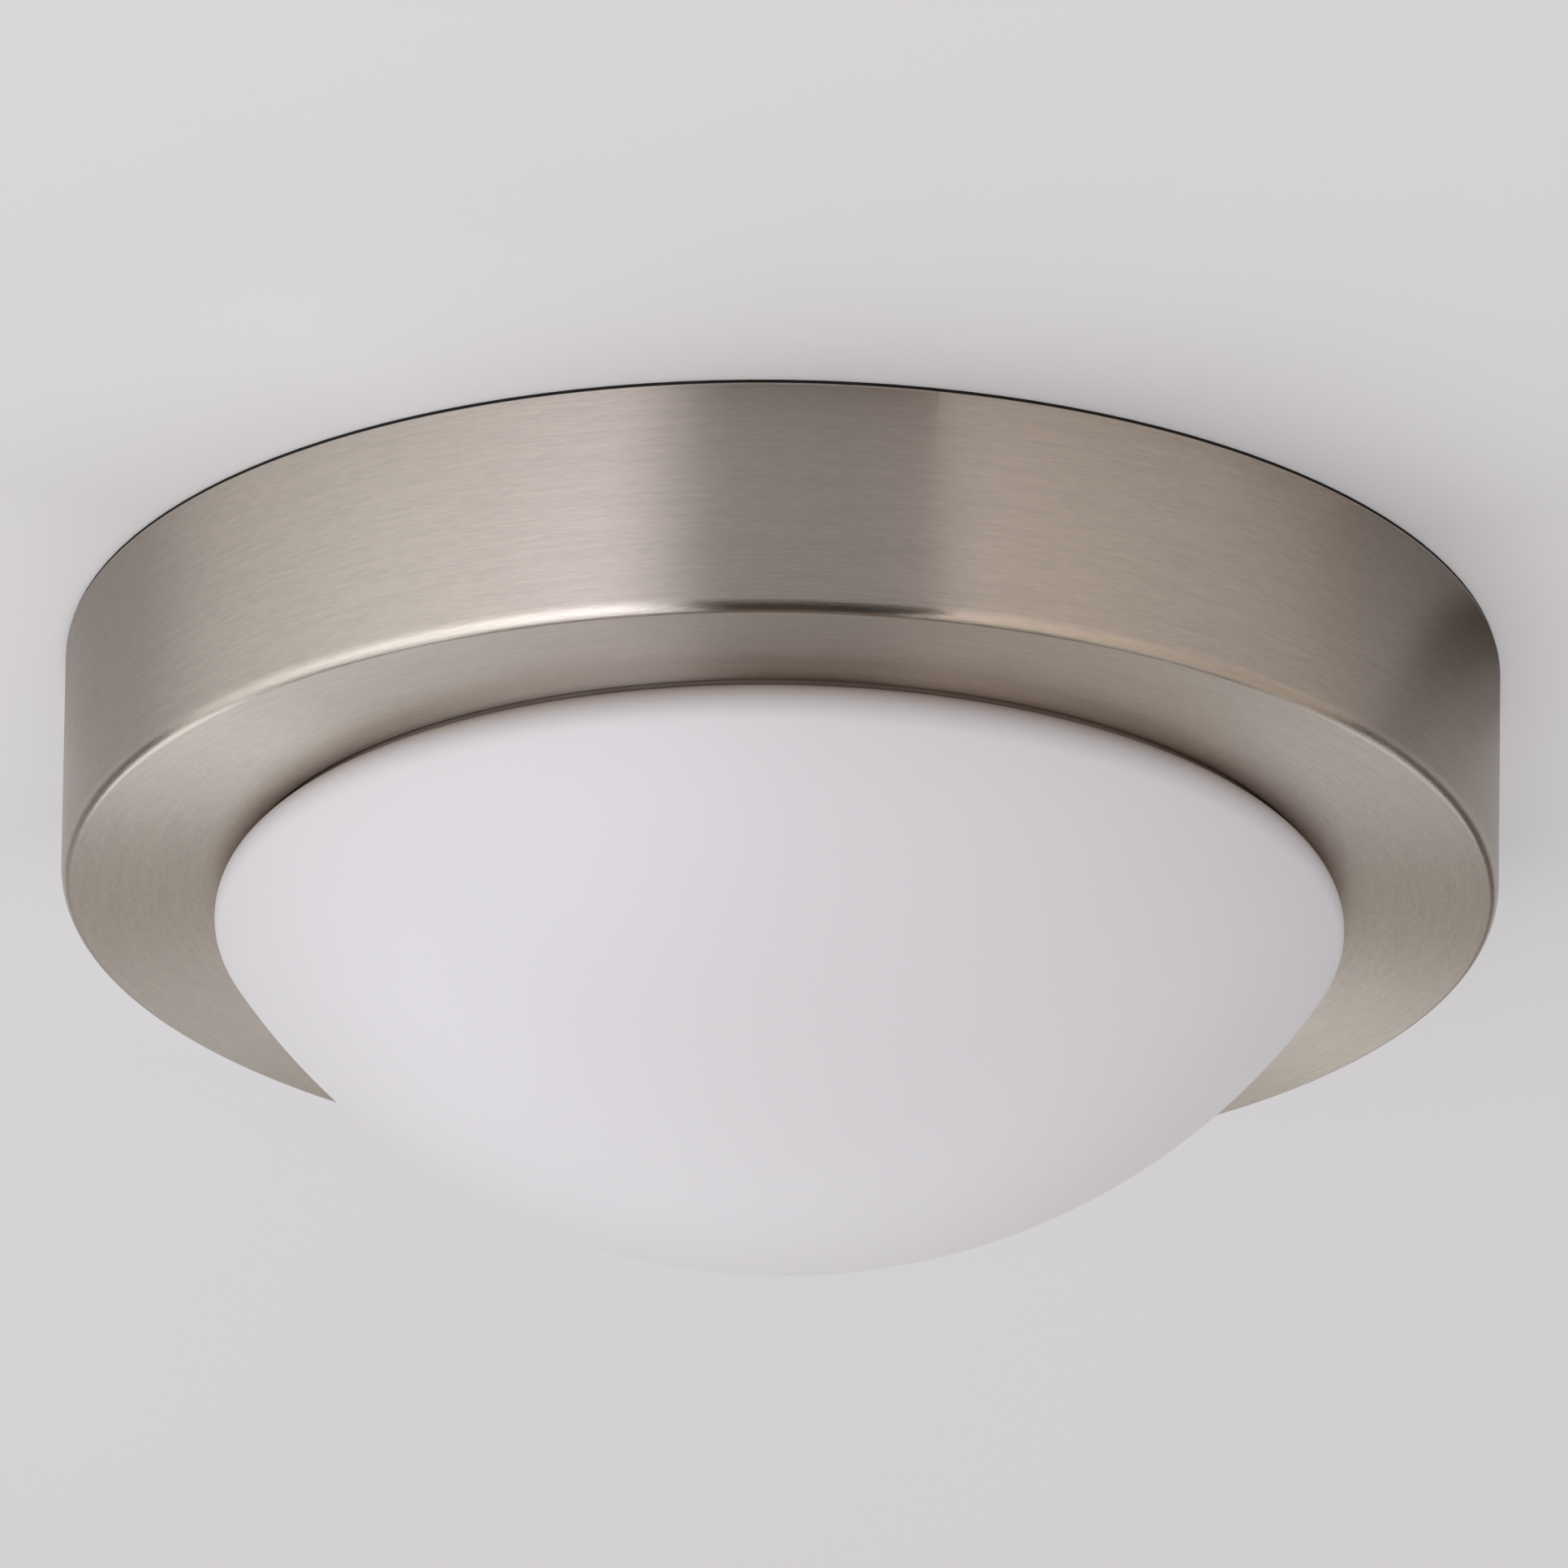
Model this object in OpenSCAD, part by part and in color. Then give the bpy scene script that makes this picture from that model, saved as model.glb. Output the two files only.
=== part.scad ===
// Flush ceiling light: a brushed drum canopy with an opal glass dome.
// Origin: centre of the ceiling plane. +Z points up into the ceiling.
// The strap lies along Y and the lamp along X, its globe towards -X.

/* [Canopy] */
// Outer diameter of the canopy
canopy_d = 280; // [266:1:330]
// Height of the canopy from the ceiling to its lower face
canopy_h = 47.6; // [45:0.2:60]
// Thickness of the canopy's sheet steel
canopy_t = 0.9; // [0.6:0.1:1.4]
// Outer radius of the corner between wall and lower face
corner_r = 2; // [1.5:0.1:6]
// Diameter of the opening that the neck of the glass enters
opening_d = 210; // [206:1:214]
// Height of the turned-up lip above the ring's upper side
lip_h = 5; // [3.6:0.2:5.6]
// Outer bend radius of the lip
lip_r = 1.6; // [1.5:0.1:2.4]

/* [Glass shade] */
// How far the glass stands out past the opening, all round
glass_overhang = 5; // [4:0.5:8]
// Depth of the dome below the canopy's lower face
glass_depth = 69.6; // [66:0.4:84]
// Thickness of the glass
glass_t = 3.6; // [2.8:0.1:4.2]
// Outer radius of the glass shoulder
shoulder_r = 6; // [5:0.1:7]
// Gap between the canopy's lower face and the shoulder
glass_gap = 0.6; // [0.4:0.1:1.6]
// Gap between the opening and the neck
neck_gap = 3.5; // [3.2:0.1:4]
// Height of the neck above the canopy's lower face
neck_h = 14; // [13.2:0.2:15]
// Radius of the fillet at the root of the neck
neck_fillet = 1.2; // [0.8:0.1:1.5]
// How far the bead stands out from the neck
bead_out = 1.4; // [1:0.1:1.6]
// Height of the bead
bead_h = 3.8; // [3:0.1:4.4]

/* [Reflector pan] */
// Thickness of the pan's sheet steel
pan_t = 0.7; // [0.5:0.1:1]
// Space between the ceiling and the floor of the pan
floor_gap = 14; // [13.6:0.2:18]
// Space between the opening and the wall of the pan
pan_space = 7; // [6.4:0.2:8]
// Width of the flange on the ring
flange_w = 12; // [11.6:0.2:16]
// Outer radius of the bend round the floor
floor_bend_r = 5; // [2:0.2:6]
// Outer radius of the bend at the flange
flange_bend_r = 2; // [1.2:0.1:3]

/* [Strap and keyholes] */
// Length of the strap
strap_l = 124; // [120:1:132]
// Width of the strap
strap_w = 22; // [18:0.5:25]
// Thickness of the strap
strap_t = 1.6; // [1.2:0.1:2]
// Distance between the centres of the slots for the box screws
box_spacing = 79.4; // [76:0.2:84]
// Length of those slots, end to end
box_slot_l = 14.1; // [8:0.1:16]
// Width of those slots
box_slot_w = 4.6; // [3.6:0.1:5.2]
// Diameter of the hole in the middle of the strap for the supply
supply_hole_d = 13; // [9:0.5:16]
// Distance between the two screws that carry the canopy
carry_spacing = 108; // [106:1:112]
// Diameter of their shanks
carry_screw_d = 4; // [3:0.1:5]
// Diameter of their heads
carry_head_d = 9; // [7.6:0.1:9.6]
// Height of their heads
carry_head_h = 3.2; // [2.4:0.1:4]
// Height of the threaded boss below the strap
boss_h = 2.4; // [1.5:0.1:5]
// Angle between the locked end of a keyhole and its release hole
keyhole_angle = 15; // [13:1:20]

/* [Spring clips] */
// Number of clips round the neck
clip_count = 3; // [3:1:4]
// Thickness of the spring steel
clip_t = 0.5; // [0.3:0.05:0.6]
// Width of a clip
clip_w = 12; // [8:0.5:14]
// Length of the leg that is riveted to the pan
clip_leg = 11; // [8:0.5:12]
// Diameter of the rivet shank
rivet_d = 3; // [2.4:0.1:3.4]
// Diameter of the rivet heads
rivet_head_d = 5.6; // [4.4:0.1:6.4]
// Height of the rivet heads
rivet_head_h = 0.9; // [0.6:0.1:1.2]

/* [Studs] */
// Number of weld studs that hold the pan
stud_count = 3; // [3:1:4]
// Diameter of a stud
stud_d = 4; // [3:0.1:4.6]
// Length of a stud above the ring
stud_l = 8; // [6.6:0.2:14]
// Height of a nut with its flange
nut_h = 4.2; // [3.4:0.1:5]
// Width of the nuts across their corners
nut_corners = 8; // [7:0.1:9]

/* [Insulation] */
// Inner diameter of the insulation ring
pad_inner_d = 144; // [142:1:160]
// Width of the insulation ring
pad_w = 33; // [20:1:35]

/* [Lamp] */
// Diameter of the globe
globe_d = 60; // [52:1:62]
// Length of the lamp from its centre contact to the top of the globe
lamp_l = 106; // [104:1:110]
// Wall thickness of the globe and of the housing
lamp_wall = 1.4; // [1:0.1:1.8]
// Gap between the globe and the floor of the pan
lamp_clearance = 4.3; // [3.6:0.1:5]
// Outer diameter of the thread of the cap
cap_d = 26.2; // [25.6:0.1:26.4]
// Length of the threaded part of the cap
cap_thread_l = 18; // [16.5:0.5:19]
// Pitch of the thread
thread_pitch = 3.629; // [3.2:0.001:3.8]
// Depth of the thread
thread_depth = 0.8; // [0.5:0.05:0.9]
// Number of light-emitting chips on the board
chip_count = 10; // [6:1:12]
// Width of the driver board
driver_w = 15; // [13.6:0.2:15.6]
// Height of the capacitor on the driver board
capacitor_h = 8; // [5:0.5:8]

/* [Lampholder] */
// Outer diameter of the porcelain body
socket_d = 38; // [36:0.5:42]
// Length of the porcelain body
socket_l = 30; // [28.6:0.2:34]
// Thickness of its back wall
socket_back = 5; // [4.6:0.1:6]
// Diameter of its cavity
socket_cavity_d = 30; // [29.4:0.1:31]
// Distance from the centre of the light to the back of the porcelain
socket_x = 56; // [55:0.5:58]
// Thickness of the bracket
bracket_t = 1.2; // [0.8:0.1:1.6]
// Width of the bracket
bracket_w = 28; // [27:0.5:34]
// Length of the bracket's foot
foot_l = 17; // [15:0.5:18]
// Distance between the screws in the foot
foot_spacing = 16; // [15:0.5:18]

/* [Wiring] */
// Diameter of a lead over its insulation
lead_d = 2.2; // [1.8:0.1:2.4]
// Diameter of the wire hole in the pan
grommet_hole_d = 12; // [11:0.2:13]
// Distance between the ways of the terminal block
way_pitch = 10; // [9.4:0.2:10.6]
// Length of the terminal block along the leads
block_l = 14; // [13:0.5:15]
// Height of the terminal block
block_h = 11; // [10:0.2:11.6]

/* [Hidden] */
fine = 144;
mid = 72;
small = 40;

// Clearances
seat = 0.3;
slip = 0.1;
thread_fit = 0.05;
cut = 1;

// Canopy and opening
canopy_r = canopy_d / 2;
opening_r = opening_d / 2;
ring_top = -canopy_h + canopy_t;

// Reflector pan
pan_r = opening_r + pan_space;
floor_top = -floor_gap;
floor_under = floor_top - pan_t;
flange_top = ring_top + pan_t;

// Glass shade
glass_r = opening_r + glass_overhang;
neck_r = opening_r - neck_gap;
shoulder_top = -canopy_h - glass_gap;
shoulder_z = shoulder_top - shoulder_r;
shoulder_x = glass_r - shoulder_r;
glass_low = -canopy_h - glass_depth;
dome_rise = shoulder_z - glass_low;
dome_r = (pow(shoulder_x, 2) + pow(dome_rise, 2) - pow(shoulder_r, 2)) / (2 * (dome_rise - shoulder_r));
dome_z = glass_low + dome_r;
dome_edge = atan2(shoulder_z - dome_z, shoulder_x);
neck_top = -canopy_h + neck_h;
bead_z = neck_top - glass_t / 2 - bead_h / 2;

// Spring clips: the leaf bends to its tip just under the bead
clip_tip_z = bead_z - bead_h / 2 - 1;
clip_tip_x = neck_r + seat + 0.7 * clip_t;
clip_leg_x = pan_r - clip_t / 2 - seat;
clip_leg_low = clip_tip_z + (clip_leg_x - clip_tip_x);
clip_rivet_z = clip_leg_low + clip_leg / 2;
clip_kick = 2;

// Studs and nuts: the studs stand between the clips
nut_flange = 0.6;
stud_r = pan_r + flange_bend_r + nut_corners / 2 + nut_flange + slip;
stud_hole_d = stud_d + 0.8;

// Strap, carrying screws and keyholes
carry_r = carry_spacing / 2;
head_top = floor_under - slip;
keyhole_w = carry_screw_d + 0.6;
keyhole_d = carry_head_d + 2.2;
ground_pos = [0, carry_r - 33];

// Lamp and lampholder axis
globe_r = globe_d / 2;
lamp_z = floor_under - lamp_clearance - globe_r;
cavity_end = socket_x - socket_back;
contact_t = 0.6;
tip_x = cavity_end - contact_t - 0.4 - seat;
button_l = 1.6;
insulator_l = 4.4;
cap_end = tip_x - button_l - insulator_l;
cap_mouth = cap_end - cap_thread_l;
globe_x = tip_x - lamp_l + globe_r;
board_x = globe_x + 0.34 * globe_r;
globe_rim = sqrt(pow(globe_r, 2) - pow(board_x - globe_x, 2));
sleeve_in = cap_d / 2 + seat;
sleeve_t = 0.4;

// Bracket: the leg stands behind the porcelain, the foot lies under the floor
foot_top = floor_under;
leg_low = lamp_z - 15;
foot_screw_x = socket_x + foot_l - 7.5;
foot_nut_corners = 6.6;
bracket_bend = 2;

// Wiring
lead_r = lead_d / 2;
grommet_pos = [57, 30];
grommet_bore = 2 * lead_d + 1.2;
grommet_rim = grommet_hole_d / 2 - slip + 1.5;
block_x = 26;
block_y = 3.2 * way_pitch;
way_z = floor_top + 4.5;
clamp_r = lead_r + 0.55;
clamp_l = block_l - 3;
earth_pos = [56, -25];
lug_angle = -60;
lug_t = 0.8;
lug_r = 4;
lug_barrel_z = floor_top + lead_r + 0.55;

// What comes up through the floor beside the insulation ring: place and radius
risers = concat([[grommet_pos[0], grommet_pos[1], grommet_rim], [earth_pos[0], earth_pos[1], lug_r]],
    [for (s = [-1, 1]) [foot_screw_x, s * foot_spacing / 2, foot_nut_corners / 2 + nut_flange]]);

// Driver board: what stands on it, each as length, width and height
driver_t = 1.2;
driver_gap = 4;
capacitor_r = 3.4;
coil = [9, 11, 6.5];
rectifier = [6, 8, 2.6];
choke = [8, 6, 2.4];

// Routes of the leads, each point a place that the lead passes
line_route = [[53, 5, lamp_z], [57.5, 5, lamp_z], [61, 5.3, -48.6], [64, 7, -45.5], [65, 10.5, -40],
    [64, 15.5, -34], [61, 21.5, -27], [57.5, 27, -21.5], [55.5, 30, -17.5], [55.5, 30, -13.5],
    [55, 28.5, -10.5], [52, 22, -9], [47.5, 14.5, -9.2], [43.5, way_pitch, way_z], [39.5, way_pitch, way_z],
    [34, way_pitch, way_z]];
neutral_route = [[53, -5, lamp_z], [57.5, -5, lamp_z], [62.5, -4.5, -47.5], [66.5, -1, -43.5], [69, 5, -37.5],
    [69.5, 12, -31.5], [66.5, 20, -26], [61.5, 27, -21], [58.5, 30, -17.5], [58.5, 30, -13.5],
    [58.8, 28, -10.5], [57.5, 20, -9], [53.5, 11, -9.2], [48.5, 3.5, -9.4], [43.5, 0, way_z], [39.5, 0, way_z],
    [34, 0, way_z]];
earth_route = [[34, -way_pitch, way_z], [39.5, -way_pitch, way_z], [43, -way_pitch - 0.2, -10],
    [46.5, -11.6, -11.3], [49.4, -14, -12.1],
    [earth_pos[0] - 10 * cos(lug_angle), earth_pos[1] - 10 * sin(lug_angle), lug_barrel_z],
    [earth_pos[0] - 6.6 * cos(lug_angle), earth_pos[1] - 6.6 * sin(lug_angle), lug_barrel_z]];

// Points along an arc about [x, y], from angle a to angle b in n steps
function arc(x, y, r, a, b, n) = [for (i = [0:n]) let(w = a + (b - a) * i / n) [x + r * cos(w), y + r * sin(w)]];

// Outline of a bent sheet of thickness t whose middle follows the points p
function unit(v) = v / norm(v);
function mitre(p, i) = let(
    a = i == 0 ? unit(p[1] - p[0]) : unit(p[i] - p[i - 1]),
    b = i == len(p) - 1 ? a : unit(p[i + 1] - p[i]),
    m = unit(a + b))
    [-m[1], m[0]] / (m * a);
function sheet(p, t) = concat(
    [for (i = [0:len(p) - 1]) p[i] + mitre(p, i) * t / 2],
    [for (i = [len(p) - 1:-1:0]) p[i] - mitre(p, i) * t / 2]);

// Smooth curve through the points p, n steps between neighbours
function at(p, i) = p[max(0, min(len(p) - 1, i))];
function blend(a, b, c, d, t) = (2 * b + (c - a) * t + (2 * a - 5 * b + 4 * c - d) * t * t
    + (3 * b - a - 3 * c + d) * t * t * t) / 2;
function smooth(p, n) = concat(
    [for (i = [0:len(p) - 2], k = [0:n - 1]) blend(at(p, i - 1), p[i], p[i + 1], at(p, i + 2), k / n)],
    [p[len(p) - 1]]);

// Direction of the curve c at its point i, and two directions square to it
function along(c, i) = unit(at(c, i + 1) - at(c, i - 1));
function sideways(c, i) = i == 0
    ? unit(cross(along(c, 0), abs(along(c, 0)[2]) > 0.7 ? [0, 1, 0] : [0, 0, 1]))
    : let(s = sideways(c, i - 1), d = along(c, i)) unit(s - d * (s * d));

// Tube of radius r along the curve c
module tube(c, r, sides = 8) {
    rings = [for (i = [0:len(c) - 1]) let(u = sideways(c, i), v = cross(along(c, i), u))
        [for (k = [0:sides - 1]) c[i] + r * (cos(360 * k / sides) * u + sin(360 * k / sides) * v)]];
    points = [for (ring = rings) for (q = ring) q];
    last = (len(c) - 1) * sides;
    walls = [for (i = [0:len(c) - 2], k = [0:sides - 1]) let(m = (k + 1) % sides, a = i * sides)
        each [[a + k, a + sides + k, a + sides + m], [a + k, a + sides + m, a + m]]];
    caps = [[for (k = [0:sides - 1]) k], [for (k = [sides - 1:-1:0]) last + k]];
    polyhedron(points, concat(walls, caps), convexity = 6);
}

// Screw with a rounded head: shank up from z = 0, head below it, crossed recess
module pan_screw(shank_d, shank_l, head_d, head_h) {
    difference() {
        rotate_extrude($fn = small) polygon(concat(
            [[0, shank_l], [shank_d / 2 - 0.4, shank_l], [shank_d / 2, shank_l - 0.4], [shank_d / 2, 0],
                [head_d / 2, 0], [head_d / 2, -head_h * 0.35]],
            [for (w = [15:15:75]) [head_d / 2 * cos(w), -head_h * (0.35 + 0.65 * sin(w))]],
            [[0, -head_h]]));
        for (w = [0, 90]) rotate([0, 0, w])
            translate([-head_d * 0.28, -head_d * 0.06, -head_h - cut])
                cube([head_d * 0.56, head_d * 0.12, cut + head_h * 0.55]);
    }
}

// Hexagon nut with a washer flange, its seat at z = 0
module flange_nut(bore_d, corners, h) {
    difference() {
        union() {
            cylinder(h = h * 0.25, r = corners / 2 + nut_flange, $fn = small);
            translate([0, 0, h * 0.25]) cylinder(h = h * 0.75, r = corners / 2, $fn = 6);
        }
        translate([0, 0, -cut]) cylinder(h = h + 2 * cut, r = bore_d / 2, $fn = small);
    }
}

// Copies turned about Z, the first at angle start
module ring_of(count, start) {
    for (i = [0:count - 1]) rotate([0, 0, start + 360 * i / count]) children();
}

// Parts of revolution about the lamp's axis: x is kept, y is the radius
module spun_on_axis(sides = mid) {
    translate([0, 0, lamp_z]) rotate([0, 90, 0]) rotate_extrude($fn = sides) rotate([0, 0, 90]) mirror([0, 1]) children();
}

// Strap on the ceiling box, with threaded bosses for the two carrying screws
module mounting_strap() {
    color("#c4c6c2")
    difference() {
        union() {
            translate([0, 0, -strap_t]) linear_extrude(strap_t) intersection() {
                square([strap_w, strap_l], center = true);
                circle(r = strap_l / 2, $fn = fine);
            }
            for (s = [-1, 1]) translate([0, s * carry_r, -strap_t - boss_h])
                cylinder(h = boss_h + strap_t / 2, r = carry_screw_d / 2 + 1.6, $fn = small);
        }
        for (s = [-1, 1]) {
            translate([0, s * carry_r, -strap_t - boss_h - cut])
                cylinder(h = strap_t + boss_h + 2 * cut, r = carry_screw_d / 2 + thread_fit, $fn = small);
            box_slot(s * box_spacing / 2);
        }
        translate([0, 0, -strap_t - cut]) cylinder(h = strap_t + 2 * cut, r = supply_hole_d / 2, $fn = small);
        translate([ground_pos[0], ground_pos[1], -strap_t - cut])
            cylinder(h = strap_t + 2 * cut, r = 2 + thread_fit, $fn = small);
    }
}

// Slot for a screw of the ceiling box, with true round ends
module box_slot(y) {
    half = (box_slot_l - box_slot_w) / 2;
    translate([0, y, -strap_t - cut]) {
        translate([-box_slot_w / 2, -half, 0]) cube([box_slot_w, 2 * half, strap_t + 2 * cut]);
        for (s = [-1, 1]) translate([0, s * half, 0])
            cylinder(h = strap_t + 2 * cut, r = box_slot_w / 2, $fn = small);
    }
}

// Green screw for the earth wire of the house
module ground_screw() {
    color("#2f8f4e")
    translate([ground_pos[0], ground_pos[1], -strap_t - slip]) difference() {
        union() {
            cylinder(h = strap_t + slip, r = 2, $fn = small);
            translate([0, 0, -0.9]) cylinder(h = 0.9, r = 4.6, $fn = small);
            translate([0, 0, -3.6]) cylinder(h = 2.7, r = 3.9, $fn = 6);
        }
        translate([-5, -0.5, -3.6 - cut]) cube([10, 1, 1.2 + cut]);
    }
}

// The two screws whose heads carry the canopy
module fixture_screws() {
    color("#d0d1cd")
    for (s = [-1, 1]) translate([0, s * carry_r, head_top])
        pan_screw(carry_screw_d, -head_top - slip, carry_head_d, carry_head_h);
}

// Drawn drum: wall, rounded corner, flat ring and turned-up lip
module canopy_shell() {
    h = canopy_t / 2;
    path = concat(
        [[canopy_r - h, 0]],
        arc(canopy_r - corner_r, corner_r - canopy_h, corner_r - h, 0, -90, 6),
        arc(opening_r + lip_r, lip_r - canopy_h, lip_r - h, -90, -180, 5),
        [[opening_r + h, ring_top + lip_h]]);
    color("#a89f96")
    rotate_extrude($fn = fine) polygon(sheet(path, canopy_t));
}

// One keyhole: a slot along a circle about the centre, with its release hole at the end
module keyhole() {
    depth = pan_t + 2 * cut;
    translate([0, 0, floor_under - cut]) {
        rotate([0, 0, -keyhole_angle]) rotate_extrude(angle = keyhole_angle, $fn = fine)
            translate([carry_r - keyhole_w / 2, 0]) square([keyhole_w, depth]);
        translate([carry_r, 0, 0]) cylinder(h = depth, r = keyhole_w / 2 - thread_fit, $fn = small);
        rotate([0, 0, -keyhole_angle]) translate([carry_r, 0, 0])
            cylinder(h = depth, r = keyhole_d / 2, $fn = small);
    }
}

// White pan: floor, wall and a flange that lies on the ring
module reflector_pan() {
    h = pan_t / 2;
    path = concat(
        [[0, floor_top - h]],
        arc(pan_r + pan_t - floor_bend_r, floor_top - floor_bend_r, floor_bend_r - h, 90, 0, 6),
        arc(pan_r + flange_bend_r, ring_top + flange_bend_r, flange_bend_r - h, 180, 270, 4),
        [[pan_r + flange_w, ring_top + h]]);
    depth = pan_t + 2 * cut;
    color("#eeeeea")
    difference() {
        rotate_extrude($fn = fine) polygon(sheet(path, pan_t));
        for (w = [90, 270]) rotate([0, 0, w]) keyhole();
        translate([0, 0, floor_under - cut]) cylinder(h = depth, r = supply_hole_d / 2, $fn = small);
        translate([grommet_pos[0], grommet_pos[1], floor_under - cut])
            cylinder(h = depth, r = grommet_hole_d / 2, $fn = small);
        for (s = [-1, 1]) {
            translate([foot_screw_x, s * foot_spacing / 2, floor_under - cut])
                cylinder(h = depth, r = 2.2, $fn = small);
            translate([block_x + block_l / 2, s * way_pitch / 2, floor_under - cut])
                cylinder(h = depth, r = 1.25 + thread_fit, $fn = small);
        }
        translate([earth_pos[0], earth_pos[1], floor_under - cut]) cylinder(h = depth, r = 2.2, $fn = small);
        ring_of(stud_count, 90) translate([stud_r, 0, ring_top - cut])
            cylinder(h = depth, r = stud_hole_d / 2, $fn = small);
        ring_of(clip_count, 30) translate([pan_r - cut, 0, clip_rivet_z]) rotate([0, 90, 0])
            cylinder(h = depth, r = rivet_d / 2 + slip, $fn = small);
    }
}

// Studs welded to the hidden side of the ring
module pan_studs() {
    color("#b9965a")
    ring_of(stud_count, 90) translate([stud_r, 0, ring_top]) {
        cylinder(h = stud_l - 0.5, r = stud_d / 2, $fn = small);
        translate([0, 0, stud_l - 0.5]) cylinder(h = 0.5, r1 = stud_d / 2, r2 = stud_d / 2 - 0.5, $fn = small);
    }
}

// Flange nuts that clamp the pan to the studs
module pan_nuts() {
    color("#c9cac6")
    ring_of(stud_count, 90) translate([stud_r, 0, flange_top]) flange_nut(stud_d + 2 * thread_fit, nut_corners, nut_h);
}

// Soft glass-fibre ring between the pan and the ceiling, cut out round what comes up through the floor
module insulation_pad() {
    inner = pad_inner_d / 2;
    color("#e9dfb6")
    translate([0, 0, floor_top + seat]) difference() {
        cylinder(h = floor_gap - 2 * seat, r = inner + pad_w, $fn = fine);
        translate([0, 0, -cut]) cylinder(h = floor_gap + 2 * cut, r = inner, $fn = fine);
        for (p = risers) translate([p[0], p[1], -cut])
            cylinder(h = floor_gap + 2 * cut, r = p[2] + slip, $fn = small);
    }
}

// Leaf springs: a leg on the wall of the pan and a leaf that ends under the bead
module shade_clips() {
    path = [[clip_leg_x, clip_leg_low + clip_leg], [clip_leg_x, clip_leg_low],
        [clip_tip_x, clip_tip_z], [clip_tip_x + clip_kick, clip_tip_z - clip_kick]];
    color("#9aa0a6")
    ring_of(clip_count, 30) difference() {
        translate([0, clip_w / 2, 0]) rotate([90, 0, 0]) linear_extrude(clip_w) polygon(sheet(path, clip_t));
        translate([pan_r - cut - clip_t, 0, clip_rivet_z]) rotate([0, 90, 0])
            cylinder(h = 2 * cut, r = rivet_d / 2 + slip, $fn = small);
    }
}

// Rivets through the clip legs and the wall of the pan
module clip_rivets() {
    inside = clip_leg_x - clip_t / 2 - slip;
    outside = pan_r + pan_t + slip;
    color("#b4b6b8")
    ring_of(clip_count, 30) translate([0, 0, clip_rivet_z]) rotate([0, 90, 0]) {
        translate([0, 0, inside]) cylinder(h = outside - inside, r = rivet_d / 2, $fn = small);
        translate([0, 0, inside - rivet_head_h]) cylinder(h = rivet_head_h, r = rivet_head_d / 2, $fn = small);
        translate([0, 0, outside]) cylinder(h = rivet_head_h, r = rivet_head_d / 2, $fn = small);
    }
}

// Soft ring on the neck, above the shoulder of the glass
module neck_gasket() {
    r = (neck_gap - 2 * seat) / 2;
    color("#f4f4f0")
    translate([0, 0, shoulder_top + r + slip])
        rotate_extrude($fn = fine) translate([neck_r + seat + r, 0]) circle(r = r, $fn = small);
}

// Opal glass: dome, shoulder, neck and bead, one wall of even thickness
module glass_shade() {
    fillet_x = neck_r + neck_fillet;
    fillet_z = shoulder_top + neck_fillet;
    outer = concat(
        arc(0, dome_z, dome_r, -90, dome_edge, 22),
        arc(shoulder_x, shoulder_z, shoulder_r, dome_edge, 90, 9),
        arc(fillet_x, fillet_z, neck_fillet, 270, 180, 3),
        [for (w = [-90:22.5:90]) [neck_r + bead_out * cos(w), bead_z + bead_h / 2 * sin(w)]],
        arc(neck_r - glass_t / 2, neck_top - glass_t / 2, glass_t / 2, 15, 180, 7));
    inner = concat(
        arc(fillet_x, fillet_z, neck_fillet + glass_t, 180, 270, 4),
        arc(shoulder_x, shoulder_z, shoulder_r - glass_t, 90, dome_edge, 6),
        arc(0, dome_z, dome_r - glass_t, dome_edge, -90, 22));
    color("#e6e3e4")
    rotate_extrude($fn = fine) polygon(concat(outer, inner));
}

// Angle bracket of the lampholder
module socket_bracket() {
    h = bracket_t / 2;
    path = concat(
        [[socket_x + h, leg_low]],
        arc(socket_x + bracket_bend + bracket_t, foot_top - bracket_bend - bracket_t, bracket_bend + h, 180, 90, 4),
        [[socket_x + foot_l, foot_top - h]]);
    color("#c8cac6")
    difference() {
        translate([0, bracket_w / 2, 0]) rotate([90, 0, 0]) linear_extrude(bracket_w) polygon(sheet(path, bracket_t));
        for (s = [-1, 1]) {
            translate([foot_screw_x, s * foot_spacing / 2, foot_top - bracket_t - cut])
                cylinder(h = bracket_t + 2 * cut, r = 2.2, $fn = small);
            translate([socket_x - cut, s * 11, lamp_z]) rotate([0, 90, 0])
                cylinder(h = bracket_t + 2 * cut, r = 1.7, $fn = small);
        }
        translate([socket_x - cut, 0, lamp_z]) rotate([0, 90, 0])
            cylinder(h = bracket_t + 2 * cut, r = 7.6, $fn = small);
    }
}

// Screws from below through the foot of the bracket
module bracket_screws() {
    color("#d0d1cd")
    for (s = [-1, 1]) translate([foot_screw_x, s * foot_spacing / 2, foot_top - bracket_t - slip])
        pan_screw(4, bracket_t + pan_t + 5, 7, 2.4);
}

// Their nuts, on top of the floor
module bracket_nuts() {
    color("#c9cac6")
    for (s = [-1, 1]) translate([foot_screw_x, s * foot_spacing / 2, floor_top])
        flange_nut(4 + 2 * thread_fit, foot_nut_corners, 3);
}

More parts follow.
